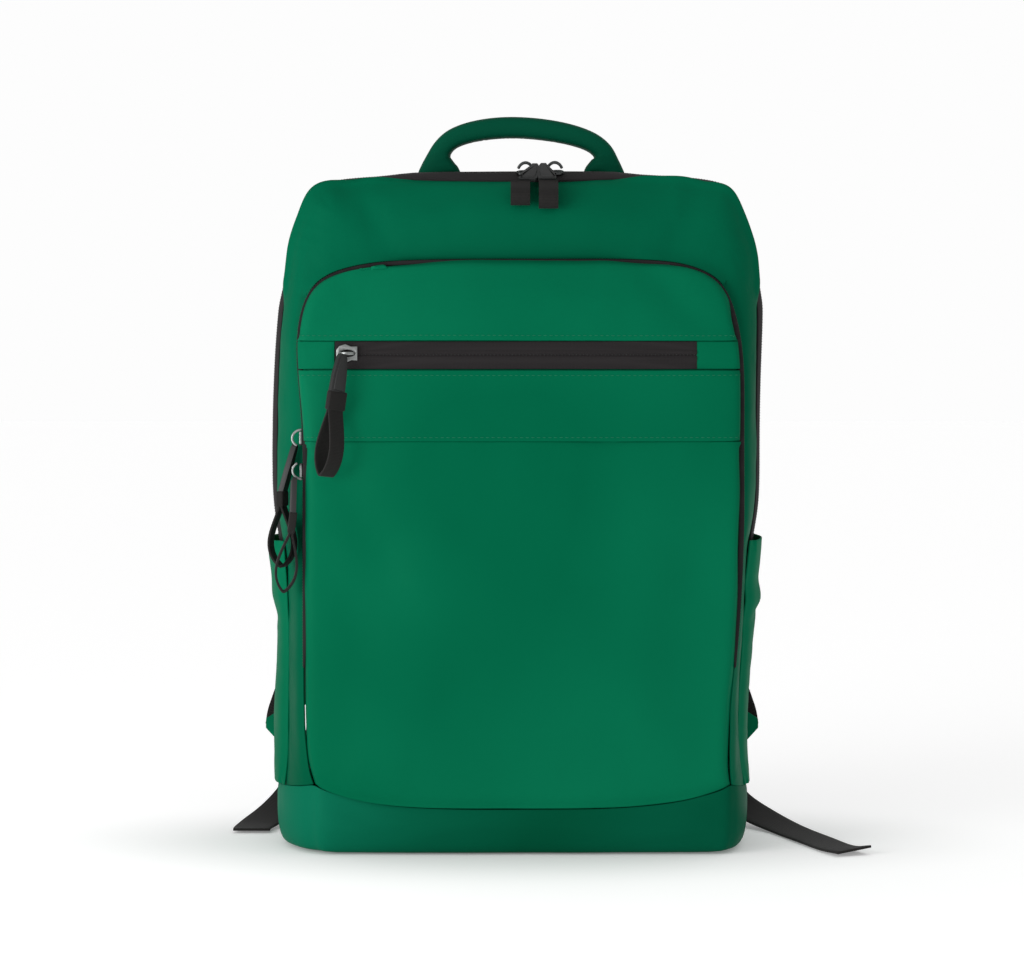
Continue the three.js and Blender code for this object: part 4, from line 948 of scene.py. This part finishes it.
# Sliders and pulls stand in the frames of their CAD solids. The axis named by low starts at
# the solid's lowest point, and the other two are centred on it.
def standOf(node, guesses, low):
    points = np.unique(np.array([v.co for v in nodes[node].data.vertices]).round(6), axis=0)
    _, _, found = np.linalg.svd(points - points.mean(0))
    axes = []
    for guess in guesses[:2]:
        axis = max((Vector(a) for a in found), key=lambda a: abs(a.dot(guess)))
        axes.append(axis if axis.dot(guess) > 0 else -axis)
    third = axes[0].cross(axes[1])
    if third.dot(guesses[2]) < 0:
        axes[1 if low == "z" else 0].negate()
        third.negate()
    axes.append(third)
    reach = [points @ np.array(axis) for axis in axes]
    middle = [(r.max() + r.min()) / 2 for r in reach]
    start = 2 if low == "z" else 1
    middle[start] = reach[start].min()
    origin = sum((axis * m for axis, m in zip(axes, middle)), Vector())
    return Matrix.Translation(origin) @ Matrix(axes).transposed().to_4x4()


# Puts a piece that was modelled at the origin, in millimetre steps, into a frame
def settle(piece, stand, turn=None):
    piece.matrix_world = stand @ (turn or Matrix())
    pick(piece)
    bpy.ops.object.transform_apply(location=True, rotation=True, scale=True)
    return piece


# A flat piece cut to an outline, with its rims rounded. Sunk gives its face a recess
# inside a raised rim of that width.
def cutOut(name, outline, thick, rim=0.4, sunk=0.0, sunkDepth=0.5, lift=0.0):
    bpy.ops.object.select_all(action="DESELECT")
    bpy.ops.mesh.primitive_circle_add(vertices=len(outline), radius=1, fill_type="NGON")
    piece = bpy.context.active_object
    piece.name = name
    writePoints(piece, np.array([(x, y, lift) for x, y in outline]) * mm)
    bpy.ops.object.mode_set(mode="EDIT")
    bpy.ops.mesh.select_all(action="SELECT")
    bpy.ops.mesh.extrude_region_move(TRANSFORM_OT_translate={"value": (0, 0, thick * mm)})
    if sunk:
        bpy.ops.mesh.inset(thickness=sunk * mm, depth=0)
        bpy.ops.mesh.inset(thickness=0.25 * mm, depth=-sunkDepth * mm)
    bpy.ops.mesh.select_all(action="SELECT")
    bpy.ops.mesh.normals_make_consistent(inside=False)
    bpy.ops.object.mode_set(mode="OBJECT")
    softenEdges(piece, rim)
    return piece


# Takes the space of one piece out of another
def cutAway(piece, tool):
    cut = piece.modifiers.new("Boolean", "BOOLEAN")
    cut.operation = "DIFFERENCE"
    cut.solver = "EXACT"
    cut.object = tool
    applyModifiers(piece)
    bpy.data.objects.remove(tool)


def joined(name, pieces):
    bpy.ops.object.select_all(action="DESELECT")
    for piece in pieces:
        piece.select_set(True)
    bpy.context.view_layer.objects.active = pieces[0]
    bpy.ops.object.join()
    pieces[0].name = name
    return pieces[0]


# An arched bar as an outline: half-length, height, bar thickness and the arc it covers
def archOutline(half, high, bar, start, end, steps=14):
    angles = [math.radians(start + (end - start) * i / steps) for i in range(steps + 1)]
    outer = [(half * math.cos(a), high * math.sin(a)) for a in angles]
    inner = [((half - bar) * math.cos(a), (high - bar) * math.sin(a)) for a in reversed(angles)]
    return outer + inner


sliderShape = {
    "plate": [(-7, -2.4), (-5.2, -5.4), (-0.8, -6), (2.8, -4.4), (6.6, -4.7), (6.6, 4.5),
              (2.4, 4.4), (-1.1, 6), (-5, 4.8), (-7, 2.2)],
    "plateThick": 1.7, "slot": (5.0, 2.3), "bridgeWide": 2.1,
}
# In a tab's or a loop's own frame X runs to the left as the viewer sees it, and Y down
pulls = {
    "pocket": {"along": right, "out": forward, "across": right, "down": down, "face": forward, "metal": dullNickel,
               "size": 1.0, "arch": (5.6, 5.2, 1.5, 12, 180), "tab": 25, "wide": (6.6, 10.8), "tabTop": 3.6, "tabLow": 4.2,
               "neck": 11.5, "loop": 42, "open": 17, "band": 10.8, "turn": -6, "shift": 3.4},
    "main_1": {"along": right, "out": up, "across": right, "down": Vector((0, -1, -0.75)), "face": up, "metal": gunMetal,
               "size": 0.84, "arch": (6.4, 8.4, 1.9, 0, 152), "tab": 16, "wide": (5.4, 12.2), "tabTop": -6, "tabLow": -1.4,
               "neck": 1.5, "loop": 15.5, "open": 11, "band": 12.6, "turn": 0, "shift": 3.4},
    "main_2": {"along": left, "out": up, "across": right, "down": Vector((0, -1, -0.75)), "face": up, "metal": gunMetal,
               "size": 0.84, "arch": (6.4, 8.4, 1.9, 0, 152), "tab": 16, "wide": (5.4, 12.0), "tabTop": 7.4, "tabLow": 5,
               "neck": 1.5, "loop": 18, "open": 12, "band": 12.6, "turn": 0, "shift": 4.2},
    "compartment_1": {"along": up, "out": left, "across": forward, "down": down, "face": left, "metal": dullNickel,
                      "size": 0.66, "arch": (6.3, 7.2, 1.5, 0, 150), "tab": 32, "wide": (5, 9), "tabTop": 0, "tabLow": 0,
                      "neck": 9, "loop": 39, "open": 17, "band": 9, "turn": 17, "shift": 0},
    "compartment_2": {"along": down, "out": left, "across": forward, "down": down, "face": left, "metal": dullNickel,
                      "size": 0.66, "arch": (6.3, 7.2, 1.5, 0, 150), "tab": 23, "wide": (5, 9), "tabTop": 0, "tabLow": 0,
                      "neck": 13, "loop": 38, "open": 14, "band": 8, "turn": -5, "shift": 0},
}


# Slider: a winged plate with a slot, and a bridge of C shape that holds the pull
def makeSlider(name, pull):
    stand = standOf(f"{name}_slider", (pull["along"], pull["out"].cross(pull["along"]), pull["out"]), "z")
    size = pull["size"]
    plate = cutOut("plate", [(x * size, y * size) for x, y in sliderShape["plate"]], sliderShape["plateThick"], 0.35)
    long, wide = (s * size for s in sliderShape["slot"])
    turns = np.linspace(0, 2 * math.pi, 24, endpoint=False)
    slot = cutOut("slot", [(long * math.cos(a), wide * math.sin(a)) for a in turns], 6, 0.1, lift=-2)
    cutAway(plate, slot)
    softenEdges(plate, 0.25, 2, 50)
    half, high, bar, start, end = pull["arch"]
    bridgeWide = sliderShape["bridgeWide"] * size
    bridge = cutOut("bridge", archOutline(half, high, bar, start, end), bridgeWide, 0.4, lift=-bridgeWide / 2)
    settle(bridge, Matrix.Rotation(math.radians(90), 4, "X"))
    piece = joined(name.replace("_", "") + "Slider", [plate, bridge])
    settle(piece, stand)
    return dress(piece, pull["metal"], "slider_metal", f"{name}_slider")


# Moulded tab: a tapering slab, its face sunk inside a raised rim
def makeTab(name, pull):
    stand = standOf(f"{name}_tab", (pull["across"], pull["down"], pull["face"]), "y")
    top, low = (w / 2 for w in pull["wide"])
    long, above, below = pull["tab"], pull["tabTop"], pull["tabLow"]
    mid = above + (below - above) * 0.55
    outline = [(above - top * 0.6, -1), (above - top, 1.2), (mid - low * 0.9, long * 0.5), (below - low, long - 1),
               (below - low + 1, long), (below + low - 1, long), (below + low, long - 1), (mid + low * 0.9, long * 0.5),
               (above + top, 1.2), (above + top * 0.6, -1)]
    thick = 3.2
    slab = cutOut("tab", outline, thick, 0.45, sunk=1.5, sunkDepth=0.8, lift=-thick / 2)
    settle(slab, stand, Matrix.Rotation(math.radians(pull["turn"]), 4, "Y"))
    slab.name = name.replace("_", "") + "Tab"
    return dress(slab, pullRubber, "pull_rubber", f"{name}_tab")


# Webbing loop: a narrow band doubled back on itself, its strands held by a sewn keeper
def makeLoop(name, pull):
    stand = standOf(f"{name}_loop", (pull["across"], pull["down"], pull["face"]), "y")
    neck, long, open_, wide = pull["neck"], pull["loop"], pull["open"] / 2, pull["band"]
    thick = 1.5

    def strand(u):
        swell = math.sin(math.pi * u ** 1.5) ** 0.7
        return (neck + (long - thick / 2) * u, 0.95 * (1 - u) + (open_ - thick / 2) * swell)

    steps = [0, 0.12, 0.26, 0.42, 0.58, 0.74, 0.87, 0.96]
    half = [(neck * 0.15, 0.85), (neck * 0.6, 0.85)] + [strand(u) for u in steps]
    line = half + [(neck + long - thick / 2, 0)] + [(u, -v) for u, v in reversed(half)]
    path = [(Vector((0, u, v)) * mm, right, wide * mm) for u, v in line]
    loop = band("loop", path, thick, columns=4, steps=3, edge=0.3)
    stand = stand @ Matrix.Translation((pull["shift"] * mm, 0, 0)) @ Matrix.Rotation(math.radians(pull["turn"]), 4, "Y")
    if neck < 5:  # a short loop is sewn straight to its tab
        loop.name = name.replace("_", "") + "Loop"
        settle(loop, stand)
        return dress(loop, narrowWebbing, "webbing_black", f"{name}_loop")
    pinch = wide / 2 + 1.1
    deep = 2.4
    above = 1.6  # it wraps the end of the tab as well
    keeper = cutOut("keeper", [(-pinch, -deep), (pinch, -deep), (pinch, deep), (-pinch, deep)], neck * 0.92 + above, 0.9)
    settle(keeper, Matrix.Translation((0, neck * 0.92 * mm, 0)) @ Matrix.Rotation(math.radians(90), 4, "X"))
    layer = keeper.data.uv_layers.get("band") or keeper.data.uv_layers.new(name="band")
    for corner in keeper.data.loops:
        place = keeper.data.vertices[corner.vertex_index].co
        layer.data[corner.index].uv = (place.y, place.x + place.z)
    piece = joined(name.replace("_", "") + "Loop", [loop, keeper])
    settle(piece, stand)
    return dress(piece, narrowWebbing, "webbing_black", f"{name}_loop")


for name, pull in pulls.items():
    makeSlider(name, pull)
    makeTab(name, pull)
    makeLoop(name, pull)
print("stage: pulls")


for unit in units:
    bpy.data.objects.remove(unit)


# Floor and light: a pale sweep, a broad soft key from the left front, a weaker fill
studio = {
    "boxAt": (-0.8, -0.75, 0.28), "boxPower": 5.2, "boxSize": 0.6, "floorSize": 14, "glow": 0.36, "paintedShadowGlow": 0.14,
    "white": "#fdfdfd", "ambient": 0.55,
}


def makeStudio():
    bpy.ops.object.select_all(action="DESELECT")
    bpy.ops.mesh.primitive_plane_add(size=studio["floorSize"])
    floor = bpy.context.active_object
    floor.name = "floor"
    material, tree, shader = newMaterial("paleFloor", 0.9, specular=0.0)
    shader.inputs["Base Color"].default_value = linear("#f4f4f4")
    shader.inputs["Emission Color"].default_value = linear("#ffffff")
    # The floor shines a little, and less close to the bag: the weaker glow there is a painted contact shadow
    place = addNode(tree, "ShaderNodeTexCoord").outputs["Object"]
    spread = addNode(tree, "ShaderNodeMapping", {"Scale": (1 / 0.36, 1 / 0.2, 1)}, {"Vector": place})
    away = addNode(tree, "ShaderNodeVectorMath", {"operation": "LENGTH"}, {0: spread.outputs[0]})
    glow = addNode(tree, "ShaderNodeMapRange", {
        "interpolation_type": "SMOOTHSTEP", 1: 0.3, 2: 1.0, 3: studio["paintedShadowGlow"], 4: studio["glow"],
    }, {0: away.outputs["Value"]})
    tree.links.new(glow.outputs[0], shader.inputs["Emission Strength"])
    floor.data.materials.append(material)

    world = bpy.context.scene.world or bpy.data.worlds.new("studio")
    bpy.context.scene.world = world
    world.use_nodes = True
    tree = world.node_tree
    tree.nodes.clear()
    seen = addNode(tree, "ShaderNodeBackground", {"Color": linear(studio["white"]), "Strength": 1.0})
    light = addNode(tree, "ShaderNodeBackground", {"Color": linear("#ffffff"), "Strength": studio["ambient"]})
    path = addNode(tree, "ShaderNodeLightPath")
    mix = addNode(tree, "ShaderNodeMixShader", {},
                  {0: path.outputs["Is Camera Ray"], 1: light.outputs[0], 2: seen.outputs[0]})
    addNode(tree, "ShaderNodeOutputWorld", {}, {"Surface": mix.outputs[0]})

    # Each lamp is a far, broad source, so the floor is lit evenly to its end
    lamps = [
        {"name": "key", "from": (-0.9, -1.0, 0.3), "spread": 40, "power": 0.6},
        {"name": "fill", "from": (1.1, -0.8, 0.5), "spread": 70, "power": 0.12},
        {"name": "top", "from": (0.1, 0.5, 1.0), "spread": 90, "power": 0.3},
    ]
    for lamp in lamps:
        bpy.ops.object.light_add(type="SUN", location=Vector(lamp["from"]) * 3)
        light = bpy.context.active_object
        light.name = lamp["name"]
        light.data.angle = math.radians(lamp["spread"])
        light.data.energy = lamp["power"]
        light.rotation_euler = (-Vector(lamp["from"])).to_track_quat("-Z", "Y").to_euler()
    # A soft box close to the left gives the cloth its lighter left half
    bpy.ops.object.light_add(type="AREA", location=studio["boxAt"])
    box = bpy.context.active_object
    box.name = "softBox"
    box.data.size = studio["boxSize"]
    box.data.energy = studio["boxPower"]
    box.rotation_euler = (Vector((0, 0, 0.15)) - box.location).to_track_quat("-Z", "Y").to_euler()


makeStudio()
bpy.context.scene.view_settings.view_transform = "Standard"
print("stage: studio")
